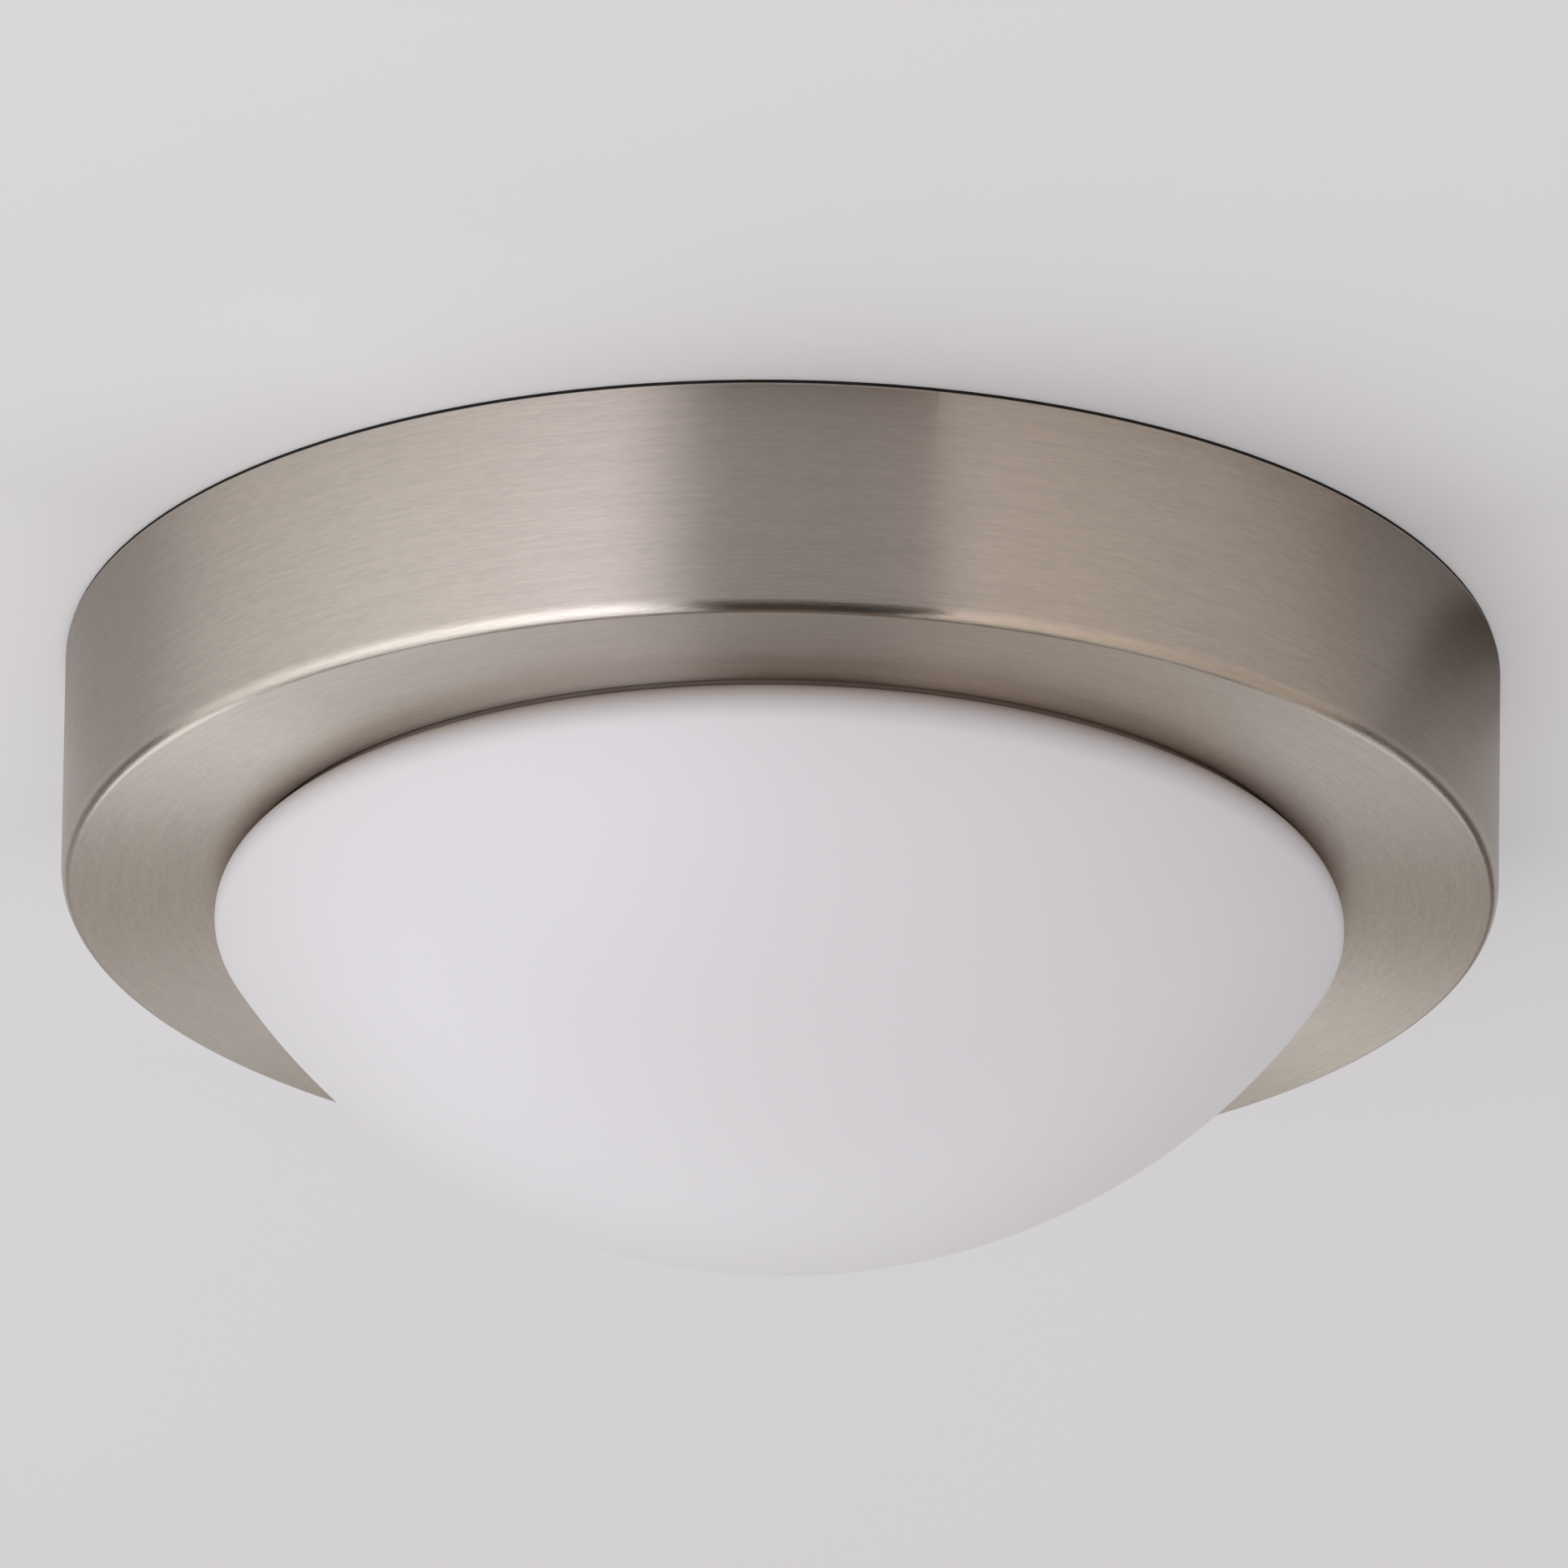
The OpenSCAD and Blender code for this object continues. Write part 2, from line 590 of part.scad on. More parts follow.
// Porcelain lampholder, open towards -X
module socket_body() {
    mouth = socket_x - socket_l;
    r = socket_d / 2;
    color("#f1efe9")
    difference() {
        spun_on_axis() polygon(concat(
            [[socket_x, 0], [socket_x, r - 5], [socket_x - 4, r - 1.5], [socket_x - 9, r - 1.5], [socket_x - 10, r]],
            arc(mouth + 1.2, r - 1.2, 1.2, 90, 180, 4),
            [[mouth, socket_cavity_d / 2], [cavity_end, socket_cavity_d / 2], [cavity_end, 0]]));
        for (s = [-1, 1]) {
            translate([cavity_end - cut, s * 5, lamp_z]) rotate([0, 90, 0])
                cylinder(h = socket_back + 2 * cut, r = lead_r + seat, $fn = small);
            translate([socket_x - 4.2, s * 11, lamp_z]) rotate([0, 90, 0])
                cylinder(h = 4.2 + cut, r = 1.5 + thread_fit, $fn = small);
        }
        translate([cavity_end - cut, -2.6, lamp_z + 2.9]) cube([2.6 + cut, 5.2, 4.7]);
    }
}

// Wave of the thread between two places on the lamp's axis
function thread(from, to, r, depth) = [for (x = [from:(to - from) / 36:to + 0.001])
    [x, r - depth * (0.5 - 0.5 * cos(360 * (x - from) / thread_pitch))]];

// Threaded sleeve in the cavity
module socket_shell() {
    from = socket_x - socket_l + 3;
    to = cavity_end - 3.5;
    outline = thread(from, to, sleeve_in + thread_depth, thread_depth);
    color("#c9b27c")
    spun_on_axis() polygon(concat(
        outline, [for (i = [len(outline) - 1:-1:0]) outline[i] + [0, sleeve_t]]));
}

// Centre contact: a tongue on the back wall that the lamp presses
module socket_contact() {
    color("#c9a04a")
    union() {
        translate([cavity_end - contact_t, -2.2, lamp_z - 7]) cube([contact_t, 4.4, 14]);
        translate([cavity_end, -2.2, lamp_z + 3.3]) cube([2.2, 4.4, 3.7]);
        translate([cavity_end - contact_t - 0.4, 0, lamp_z]) rotate([0, 90, 0])
            cylinder(h = 0.4 + contact_t / 2, r = 1.9, $fn = small);
    }
}

// Screws through the bracket into the porcelain
module socket_screws() {
    color("#d0d1cd")
    for (s = [-1, 1]) translate([socket_x + bracket_t + slip, s * 11, lamp_z]) rotate([0, -90, 0])
        pan_screw(3, bracket_t + slip + 4, 5.4, 2);
}

// Rubber bush in the wire hole of the pan
module wire_grommet() {
    bore = grommet_bore / 2;
    groove = grommet_hole_d / 2 - slip;
    rim = grommet_rim;
    color("#2b2b2b")
    translate([grommet_pos[0], grommet_pos[1], 0]) rotate_extrude($fn = small) polygon([
        [bore, floor_under - 1.9], [rim - 0.8, floor_under - 1.9], [rim, floor_under - 1.2],
        [rim, floor_under - slip], [groove, floor_under - slip], [groove, floor_top + slip],
        [rim, floor_top + slip], [rim, floor_top + 1.2], [rim - 0.8, floor_top + 1.9], [bore, floor_top + 1.9]]);
}

module line_lead() {
    color("#1f1f21") tube(smooth(line_route, 3), lead_r);
}

module neutral_lead() {
    color("#e8e8e6") tube(smooth(neutral_route, 3), lead_r);
}

module earth_lead() {
    color("#3b8f45") tube(smooth(earth_route, 3), lead_r);
}

// Three-way terminal block on the floor, between the strap and the wire hole
module terminal_block() {
    color("#e4e0d4")
    difference() {
        union() {
            translate([block_x, -block_y / 2, floor_top]) cube([block_l, block_y, 2.4]);
            for (i = [-1:1]) translate([block_x, i * way_pitch - 3.9, floor_top + 1.2])
                cube([block_l, 7.8, block_h - 1.2]);
        }
        for (i = [-1:1]) {
            translate([block_x - cut, i * way_pitch, way_z]) rotate([0, 90, 0])
                cylinder(h = block_l + 2 * cut, r = clamp_r + slip, $fn = small);
            translate([block_x + block_l / 2, i * way_pitch, way_z]) cylinder(h = block_h, r = 2.3, $fn = small);
        }
        for (s = [-1, 1]) translate([block_x + block_l / 2, s * way_pitch / 2, floor_top - cut])
            cylinder(h = 2.4 + 2 * cut, r = 1.5, $fn = small);
    }
}

// Brass sleeves in the block
module terminal_clamps() {
    color("#c8a24d")
    for (i = [-1:1]) difference() {
        translate([block_x + (block_l - clamp_l) / 2, i * way_pitch, way_z]) rotate([0, 90, 0])
            cylinder(h = clamp_l, r = clamp_r, $fn = small);
        translate([block_x, i * way_pitch, way_z]) rotate([0, 90, 0])
            cylinder(h = block_l, r = lead_r + slip, $fn = small);
        translate([block_x + block_l / 2, i * way_pitch, way_z]) cylinder(h = 2 * clamp_r, r = 1.3 + thread_fit, $fn = small);
    }
}

// Clamping screws in the block, one a way
module terminal_screws() {
    tip = way_z + lead_r + slip;
    head_low = way_z + clamp_r + slip;
    color("#d4d0c0")
    for (i = [-1:1]) translate([block_x + block_l / 2, i * way_pitch, 0]) difference() {
        union() {
            translate([0, 0, tip]) cylinder(h = head_low - tip + 0.2, r = 1.3, $fn = small);
            translate([0, 0, head_low]) cylinder(h = 1.9, r = 2.1, $fn = small);
        }
        translate([-3, -0.35, head_low + 1]) cube([6, 0.7, 2]);
    }
}

// Screws that hold the block to the floor, between its ways
module block_screws() {
    color("#d0d1cd")
    for (s = [-1, 1]) translate([block_x + block_l / 2, s * way_pitch / 2, floor_top + 2.4 + slip])
        rotate([180, 0, 0]) pan_screw(2.5, 2.4 + slip + pan_t + 1.5, 0.36 * way_pitch - 1.6, 1.3);
}

// Ring terminal of the earth lead
module earth_lug() {
    color("#c9a04a")
    translate([earth_pos[0], earth_pos[1], 0]) rotate([0, 0, lug_angle]) difference() {
        union() {
            translate([0, 0, floor_top]) cylinder(h = lug_t, r = lug_r, $fn = small);
            translate([-6, -1.6, floor_top]) cube([4, 3.2, lug_t]);
            translate([-10, 0, lug_barrel_z]) rotate([0, 90, 0]) cylinder(h = 4.4, r = lead_r + 0.5, $fn = small);
        }
        translate([0, 0, floor_top - cut]) cylinder(h = lug_t + 2 * cut, r = 2.1, $fn = small);
        translate([-10 - cut, 0, lug_barrel_z]) rotate([0, 90, 0])
            cylinder(h = 4 + cut, r = lead_r + slip, $fn = small);
    }
}

// Screw of the earth point, from below through the floor
module earth_screw() {
    color("#2f8f4e")
    translate([earth_pos[0], earth_pos[1], floor_under - slip]) pan_screw(4, slip + pan_t + lug_t + 4, 7, 2.4);
}

// Its nut, on the ring terminal
module earth_nut() {
    color("#c9cac6")
    translate([earth_pos[0], earth_pos[1], floor_top + lug_t]) flange_nut(4 + 2 * thread_fit, 6.4, 3);
}

// Globe of the lamp, open towards the housing
module lamp_envelope() {
    edge = atan2(globe_rim, board_x - globe_x);
    edge_in = acos((board_x - globe_x) / (globe_r - lamp_wall));
    color("#f6f4ee")
    spun_on_axis() polygon(concat(
        arc(globe_x, 0, globe_r, 180, edge, 20),
        arc(globe_x, 0, globe_r - lamp_wall, edge_in, 180, 20)));
}

// Housing of the lamp: from the cap out to the rim of the globe
module lamp_housing() {
    neck = cap_d / 2 + 0.6;
    rise = globe_rim - neck;
    run = cap_mouth - board_x - seat;
    curve = [for (i = [0:10]) let(t = i / 10) [board_x + slip + (run - 3) * t, globe_rim - rise * (1 - pow(cos(90 * t), 1.35))]];
    color("#eceae4")
    spun_on_axis() polygon(concat(
        curve, [[cap_mouth - seat, neck], [cap_mouth - seat, neck - lamp_wall - 1.4]],
        [for (i = [10:-1:0]) curve[i] - [0, lamp_wall]]));
}

// Threaded shell of the cap
module lamp_screw_shell() {
    outline = thread(cap_mouth, cap_end, cap_d / 2, thread_depth);
    color("#b8babb")
    spun_on_axis() polygon(concat(
        outline, [[cap_end + 0.8, cap_d / 2 - thread_depth - 1.2], [cap_end + 0.5, cap_d / 2 - thread_depth - 1.6]],
        [for (i = [len(outline) - 1:-1:0]) outline[i] - [0, 0.4]]));
}

// Glass-like insulator between the shell and the centre contact
module lamp_insulator() {
    r = cap_d / 2 - thread_depth - 2;
    color("#26262a")
    spun_on_axis() polygon([[cap_end - 1.5, 0], [cap_end - 1.5, r - 0.8], [cap_end + 0.2, r], [cap_end + 1, r],
        [tip_x - button_l - slip, 4.6], [tip_x - button_l - slip, 0]]);
}

// Centre contact of the lamp
module lamp_contact() {
    color("#c3c4c2")
    spun_on_axis(small) polygon([[tip_x - button_l, 0], [tip_x - button_l, 4.2], [tip_x - 0.9, 4.2],
        [tip_x - 0.3, 3], [tip_x, 1.4], [tip_x, 0]]);
}

// Aluminium board behind the globe
module led_board() {
    color("#e9ebea")
    difference() {
        spun_on_axis() polygon([[board_x + 1, 0], [board_x + 1, globe_rim - 2.2],
            [board_x + 2.6, globe_rim - 2.2], [board_x + 2.6, 0]]);
        for (s = [-1, 1]) translate([board_x, s * 3, lamp_z]) rotate([0, 90, 0]) cylinder(h = 4, r = 1.2, $fn = small);
    }
}

// Light-emitting chips in a ring on the board
module led_chips() {
    color("#f2d34a")
    translate([board_x + 0.2, 0, lamp_z]) rotate([0, 90, 0]) for (i = [0:chip_count - 1])
        rotate([0, 0, 360 * i / chip_count]) translate([0.58 * globe_rim, 0, 0])
            translate([-1.5, -1.9, 0]) cube([3, 3.8, 0.8]);
}

// Driver board, upright in the housing
module driver_board() {
    color("#3f7d4f")
    translate([board_x + driver_gap, -driver_w / 2, lamp_z - driver_t / 2])
        cube([cap_mouth - board_x + coil[2], driver_w, driver_t]);
}

// Capacitor, coil and rectifier on the driver board
module driver_parts() {
    top = lamp_z + driver_t / 2;
    first = board_x + driver_gap + capacitor_r;
    second = first + 2 * capacitor_r;
    third = second + coil[0] + rectifier[0] / 2;
    color("#4a4a52")
    union() {
        translate([first, driver_w / 2 - capacitor_r - 1, top]) cylinder(h = capacitor_h, r = capacitor_r, $fn = small);
        translate([second, -coil[1] / 2, top]) cube(coil);
        translate([third, -rectifier[1] / 2, top]) cube(rectifier);
        translate([second, -choke[1] / 2, top - driver_t - choke[2]]) cube(choke);
    }
}

mounting_strap();
ground_screw();
fixture_screws();
canopy_shell();
reflector_pan();
pan_studs();
pan_nuts();
insulation_pad();
shade_clips();
clip_rivets();
neck_gasket();
glass_shade();
socket_bracket();
bracket_screws();
bracket_nuts();
socket_body();
socket_shell();
socket_contact();
socket_screws();
wire_grommet();
line_lead();
neutral_lead();
earth_lead();
terminal_block();
terminal_clamps();
terminal_screws();
block_screws();
earth_lug();
earth_screw();
earth_nut();
lamp_envelope();
lamp_housing();
lamp_screw_shell();
lamp_insulator();
lamp_contact();
led_board();
led_chips();
driver_board();
driver_parts();
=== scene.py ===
"""Flush ceiling light: a drum canopy of brushed nickel with a dome of satin opal glass.

Spins the canopy and the dome, makes the ring of glass wool and the leads, gives every piece
its finish, and sets up the ceiling that the light hangs from, the lamps and the camera.
"""

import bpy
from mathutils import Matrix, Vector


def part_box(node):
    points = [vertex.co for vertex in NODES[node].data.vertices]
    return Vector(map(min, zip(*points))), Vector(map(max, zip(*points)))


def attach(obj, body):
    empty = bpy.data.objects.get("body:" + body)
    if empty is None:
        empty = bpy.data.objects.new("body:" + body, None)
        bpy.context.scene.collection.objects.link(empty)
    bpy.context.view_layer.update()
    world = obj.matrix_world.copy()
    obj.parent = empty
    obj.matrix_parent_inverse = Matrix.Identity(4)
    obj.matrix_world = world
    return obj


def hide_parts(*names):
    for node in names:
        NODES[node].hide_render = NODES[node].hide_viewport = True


bl_info = {
    "name": "Flush ceiling light",
    "version": (1, 0, 0),
    "blender": (4, 5, 0),
    "location": "View3D > Sidebar > Ceiling light",
    "description": "Builds a flush ceiling light with a brushed canopy and an opal glass dome",
    "category": "Add Mesh",
}

import math

import bpy
from bpy.props import FloatProperty, FloatVectorProperty, PointerProperty
from mathutils import Matrix, Vector

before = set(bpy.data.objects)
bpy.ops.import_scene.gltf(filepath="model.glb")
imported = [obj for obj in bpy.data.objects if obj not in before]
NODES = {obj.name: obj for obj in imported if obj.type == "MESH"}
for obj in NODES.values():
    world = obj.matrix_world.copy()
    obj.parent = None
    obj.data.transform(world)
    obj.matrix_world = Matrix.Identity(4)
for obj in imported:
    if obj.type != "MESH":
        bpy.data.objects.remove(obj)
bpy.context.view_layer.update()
MM = 0.001


def linear(code):
    """Linear RGBA of a hex sRGB colour such as "#c8bdb0"."""
    parts = [int(code[i:i + 2], 16) / 255 for i in (1, 3, 5)]
    return [p / 12.92 if p <= 0.04045 else ((p + 0.055) / 1.055) ** 2.4 for p in parts] + [1.0]


def reach(node, pick):
    """The smallest or largest distance of a CAD node from the vertical axis."""
    return pick(math.hypot(v.co.x, v.co.y) for v in NODES[node].data.vertices)


def length(title, about, default):
    """A length in metres that the panel shows."""
    return FloatProperty(name=title, description=about, default=default, min=0.0, precision=5, unit="LENGTH")


def angle(title, about, degrees):
    """An angle that the panel shows, given in degrees."""
    return FloatProperty(name=title, description=about, default=math.radians(degrees), subtype="ANGLE")


def radiance(title, about, default):
    """How bright a lamp or a screen is: at 1, white shows as white."""
    return FloatProperty(name=title, description=about, default=default, min=0.0)


def colour(title, about, code):
    """A colour that the panel shows, given as hex sRGB."""
    return FloatVectorProperty(
        name=title, description=about, default=linear(code)[:3], size=3, min=0.0, max=1.0, subtype="COLOR")


class CanopySettings(bpy.types.PropertyGroup):
    """Sizes and finish of the drum."""
    radius: length("Radius", "Outer radius of the drum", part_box("canopy_shell")[1].x)
    height: length("Height", "From the ceiling to the lower face", -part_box("canopy_shell")[0].z)
    opening: length("Opening", "Radius of the opening for the glass", reach("canopy_shell", min))
    sheet: length("Sheet", "Thickness of the sheet steel", 0.9 * MM)
    rim: length("Rim", "Radius of the edges at the ceiling", 0.2 * MM)
    corner: length("Corner", "How far the lower corner reaches across the ring", 2.0 * MM)
    corner_height: length("Corner height", "How far the lower corner reaches up the wall", 3.4 * MM)
    lip_height: length("Lip height", "Height of the turned-up lip above the lower face", 5.9 * MM)
    lip_bend: length("Lip bend", "Outer bend radius of the lip", 1.6 * MM)
    stroke: length("Brush stroke", "Length of one stroke of the brushed finish", 3.5 * MM)
    line: length("Brush line", "Width of one line of the brushed finish", 0.4 * MM)
    nickel: colour("Nickel", "Colour of the brushed nickel", "#d1c6bb")


class GlassSettings(bpy.types.PropertyGroup):
    """Sizes and colour of the dome."""
    radius: length("Radius", "Largest radius of the dome", reach("glass_shade", max))
    wall: length("Wall", "Thickness of the glass", 3.6 * MM)
    shoulder: length("Shoulder", "Outer radius of the shoulder", 6.0 * MM)
    gap: length("Gap", "Between the lower face of the canopy and the shoulder", 0.6 * MM)
    neck: length("Neck", "Outer radius of the neck", 101.5 * MM)
    neck_fillet: length("Neck fillet", "Radius of the fillet at the root of the neck", 1.2 * MM)
    bead_out: length("Bead", "How far the bead stands out from the neck", 1.4 * MM)
    bead_height: length("Bead height", "Height of the bead", 3.8 * MM)
    opal: colour("Opal", "Colour of the opal glass", "#dddadd")


class InsideSettings(bpy.types.PropertyGroup):
    """Sizes of the soft ring and the leads."""
    lump: length("Lump", "How far the glass wool swells and sinks", 1.1 * MM)
    lump_size: length("Lump size", "Width of one lump of the glass wool", 9.0 * MM)
    edge: length("Ring edge", "Radius of the edges of the glass wool", 2.4 * MM)
    lead: length("Lead", "Diameter of a lead over its insulation", 2.2 * MM)


class StageSettings(bpy.types.PropertyGroup):
    """Camera, ceiling and lamps."""
    distance: length("Distance", "From the camera to the middle of the light", 8.0)
    lens: FloatProperty(name="Lens", description="Focal length in millimetres", default=942.1, min=1.0)
    rise: angle("Rise", "How steeply the camera looks up", 23.15)
    roll: angle("Roll", "Clockwise tilt of the picture", 0.82)
    ceiling: colour("Ceiling", "Colour of the painted ceiling", "#dcdadb")
    room: colour("Room", "Light that comes from the room on all sides", "#e1e0e2")
    backdrop: colour("Backdrop", "Colour behind the light in the other views", "#e6e5e6")
    key: radiance("Key", "Radiance of the large soft lamp on the left", 0.72)
    fill: radiance("Fill", "Radiance of the weaker lamp on the right", 0.12)
    walls: radiance("Walls", "Radiance of white in the room's walls, as the metal sees them", 2.6)


# Noise mostly keeps to this span, over which it is turned softly into another number
NOISE_SPAN = {"From Min": 0.3, "From Max": 0.7}
SOFT = {"interpolation_type": "SMOOTHSTEP"}


def add(tree, kind, inputs=None, output=0, **settings):
    """Adds a shader node, makes its settings, fills or links its inputs, and gives one of its outputs."""
    made = tree.nodes.new("ShaderNode" + kind)
    for name, value in settings.items():
        setattr(made, name, value)
    for socket, value in (inputs or {}).items():
        if isinstance(value, bpy.types.NodeSocket):
            tree.links.new(value, made.inputs[socket])
        else:
            made.inputs[socket].default_value = value
    return made.outputs[output] if made.outputs else None


def blank(name):
    """An empty material and its node tree."""
    made = bpy.data.materials.new(name)
    made.use_nodes = True
    made.node_tree.nodes.clear()
    return made, made.node_tree


def grain(tree, size, detail=3.0, stretch=(1, 1, 1)):
    """Even noise with cells as wide as size, in metres, and wider along an axis whose stretch is below 1."""
    where = add(tree, "Mapping", {"Vector": add(tree, "TexCoord", output="Object"), "Scale": stretch})
    return add(tree, "TexNoise", {"Vector": where, "Scale": 1 / size, "Detail": detail, "Roughness": 0.55})


def patchy(tree, light, dark, patches, rough, uneven, fine, depth, sockets):
    """Two tones in patches, with a gloss that is uneven to match, over a fine relief as deep as depth."""
    shader = add(tree, "BsdfPrincipled", {
        "Base Color": add(tree, "Mix", {0: patches, 6: linear(light), 7: linear(dark)}, 2, data_type="RGBA"),
        "Roughness": add(tree, "MapRange", {
            **NOISE_SPAN, "Value": patches, "To Min": rough - uneven, "To Max": rough + uneven}, **SOFT),
        "Normal": add(tree, "Bump", {"Height": fine, "Distance": depth}),
        **sockets})
    add(tree, "OutputMaterial", {"Surface": shader})


def brushed_nickel(s):
    """Nickel plate brushed round the axis: reflections smear across the lines into bands."""
    made, tree = blank("brushed_nickel")
    where = add(tree, "TexCoord", output="Object")
    height = add(tree, "SeparateXYZ", {0: where}, "Z")
    flat = add(tree, "VectorMath", {0: where, 1: (1, 1, 0)}, operation="MULTIPLY")
    radius = add(tree, "VectorMath", {0: flat}, "Value", operation="LENGTH")
    round_way = add(tree, "VectorMath", {0: flat}, operation="NORMALIZE")
    across = add(tree, "Math", {0: radius, 1: height}, operation="ADD")

    def lines(stroke, line):
        """Noise drawn out round the axis: stroke long and line wide, in metres."""
        strokes = s.radius / stroke
        width = add(tree, "Math", {0: across, 1: 1 / line}, operation="MULTIPLY")
        drawn = add(tree, "VectorMath", {
            0: round_way, 1: (strokes, strokes, 0), 2: add(tree, "CombineXYZ", {"Z": width})},
            operation="MULTIPLY_ADD")
        return add(tree, "TexNoise", {"Vector": drawn, "Scale": 1.0, "Detail": 2.0})

    fine = lines(s.stroke, s.line)
    broad = lines(s.stroke * 6, s.line * 2)
    both = add(tree, "Mix", {0: 0.4, 2: fine, 3: broad}, data_type="FLOAT")
    lit = add(tree, "MapRange", {**NOISE_SPAN, "Value": both, "To Min": 1.0, "To Max": 0.0}, **SOFT)
    worn = [c * 0.87 for c in s.nickel]
    plate = add(tree, "Mix", {0: lit, 6: [*s.nickel, 1.0], 7: [*worn, 1.0]}, 2, data_type="RGBA")

    # Painted shade: in the mouth, where the sheet turns up between the ring and the glass, the colour goes
    # dark brown
    mouth = s.opening + s.lip_bend
    mouth_shade = add(tree, "MapRange", {
        "Value": radius, "From Min": mouth - 0.6 * MM, "From Max": mouth, "To Min": 1.0, "To Max": 0.0},
        **SOFT)

    # The press has smoothed the lines at the corner, which starts sharply on the ring and slowly on the wall
    outward = add(tree, "Math", {0: radius, 1: s.radius - s.corner}, operation="SUBTRACT")
    sharply = add(tree, "Math", {0: outward, 1: 4.0}, operation="MULTIPLY")
    down = add(tree, "Math", {0: s.corner_height - s.height, 1: height}, operation="SUBTRACT")
    corner = add(tree, "Math", {0: sharply, 1: down}, operation="MINIMUM")
    rough = add(tree, "MapRange", {
        "Value": corner, "From Min": 0.0, "From Max": s.corner_height * 0.6, "To Min": 0.38, "To Max": 0.24},
        **SOFT)

    # The base colour takes the painted shade's dark brown inside the mouth
    shader = add(tree, "BsdfPrincipled", {
        "Base Color": add(tree, "Mix", {0: mouth_shade, 6: plate, 7: linear("#4d3f38")}, 2, data_type="RGBA"),
        "Metallic": 1.0, "Roughness": rough, "Anisotropic": 1.0, "Anisotropic Rotation": 0.25,
        "Specular Tint": (0.7, 0.69, 0.68, 1.0), "Coat Weight": 0.3, "Coat Roughness": 0.1,
        "Tangent": add(tree, "Tangent", direction_type="UV_MAP", uv_map="finish"),
        "Normal": add(tree, "Bump", {"Height": both, "Distance": 0.06 * MM})})
    add(tree, "OutputMaterial", {"Surface": shader})
    return made


def opal_glass(s, top):
    """Etched opal glass: milky right through, with a satin skin that spreads every highlight.

    The shoulder, whose top is given, has a faint warm shade painted into its colour close to the metal above
    it, in place of the shade and brown light that the metal throws on it.
    """
    made, tree = blank("opal_glass")
    thin = [c * 0.97 for c in s.opal]
    cloudy = add(tree, "Mix", {
        0: grain(tree, 55 * MM, 1.0), 6: [*s.opal, 1.0], 7: [*thin, 1.0]}, 2, data_type="RGBA")
    height = add(tree, "SeparateXYZ", {0: add(tree, "TexCoord", output="Object")}, "Z")
    # Painted shade: a band just under the shoulder's top goes to a warm brown-grey
    rising = add(tree, "MapRange", {
        "Value": height, "From Min": top - 5.8 * MM, "From Max": top - 0.4 * MM}, **SOFT)
    falling = add(tree, "MapRange", {
        "Value": height, "From Min": top + 0.1 * MM, "From Max": top + 1.0 * MM,
        "To Min": 1.0, "To Max": 0.0}, **SOFT)
    painted_shoulder_shade = add(tree, "Math", {0: rising, 1: falling}, operation="MULTIPLY")
    shader = add(tree, "BsdfPrincipled", {
        "Base Color": add(tree, "Mix", {0: painted_shoulder_shade, 6: cloudy, 7: linear("#d4c5be")}, 2, data_type="RGBA"),
        "Roughness": add(tree, "MapRange", {
            **NOISE_SPAN, "Value": grain(tree, 1.2 * MM), "To Min": 0.46, "To Max": 0.54}, **SOFT),
        "IOR": 1.5, "Subsurface Weight": 0.25, "Subsurface Radius": (1.0, 0.95, 0.9),
        "Subsurface Scale": 3.0 * MM,
        "Normal": add(tree, "Bump", {"Height": grain(tree, 0.5 * MM), "Distance": 0.004 * MM})})
    add(tree, "OutputMaterial", {"Surface": shader})
    return made


def plated(name, bright, dull, rough, cell, depth, stretch=(1, 1, 1)):
    """A metal skin: grain as wide as cell, and patches twelve times as wide."""
    made, tree = blank(name)
    patches, fine = (grain(tree, size, 2.0, stretch) for size in (cell * 12, cell))
    patchy(tree, bright, dull, patches, rough, 0.06, fine, depth, {"Metallic": 1.0})
    return made


def zinc_plate():
    """Steel strip with bright zinc: cool grey, faintly mottled."""
    return plated("zinc_plated_steel", "#cfd1ce", "#b9bcba", 0.34, 0.6 * MM, 0.006 * MM)


def copper_steel():
    """Steel studs with a copper flash: warm and dull."""
    return plated("copper_flashed_steel", "#c79a68", "#a87d50", 0.38, 0.5 * MM, 0.006 * MM)


def spring_steel():
    """Rolled spring steel: blue-grey with the marks of the rolls."""
    return plated("spring_steel", "#a9adb1", "#8f9499", 0.3, 0.4 * MM, 0.005 * MM, (1, 1, 6))


def brass():
    """Pressed brass: yellow, rubbed bright."""
    return plated("pressed_brass", "#d7b469", "#bb934a", 0.27, 0.7 * MM, 0.005 * MM)


def cap_nickel():
    """Rolled nickel of the lamp's cap: bright, slightly warm."""
    return plated("rolled_nickel", "#cfcdc8", "#b7b4ae", 0.25, 0.8 * MM, 0.004 * MM)


def green_steel():
    """Screws dyed green over zinc, as earth screws are."""
    return plated("green_dyed_zinc", "#3fa35e", "#2c7c45", 0.36, 0.5 * MM, 0.006 * MM)


def coated(name, light, dark, rough, cell, depth, coat=0.0, ior=1.5, milky=0.0, milky_depth=1.0 * MM):
    """A coat, plastic or glaze: relief as wide as cell, and patches 14 times as wide."""
    made, tree = blank(name)
    sockets = {"IOR": ior, "Coat Weight": coat, "Coat Roughness": 0.12}
    if milky:
        sockets.update({"Subsurface Weight": milky, "Subsurface Scale": milky_depth})
    patchy(tree, light, dark, grain(tree, cell * 14, 0.0), rough, 0.05, grain(tree, cell), depth, sockets)
    return made


def white_enamel():
    """Baked white enamel of the pan: smooth, with a faint orange peel."""
    return coated("baked_enamel", "#eeeeeb", "#e9e9e5", 0.34, 1.6 * MM, 0.01 * MM, coat=0.3)


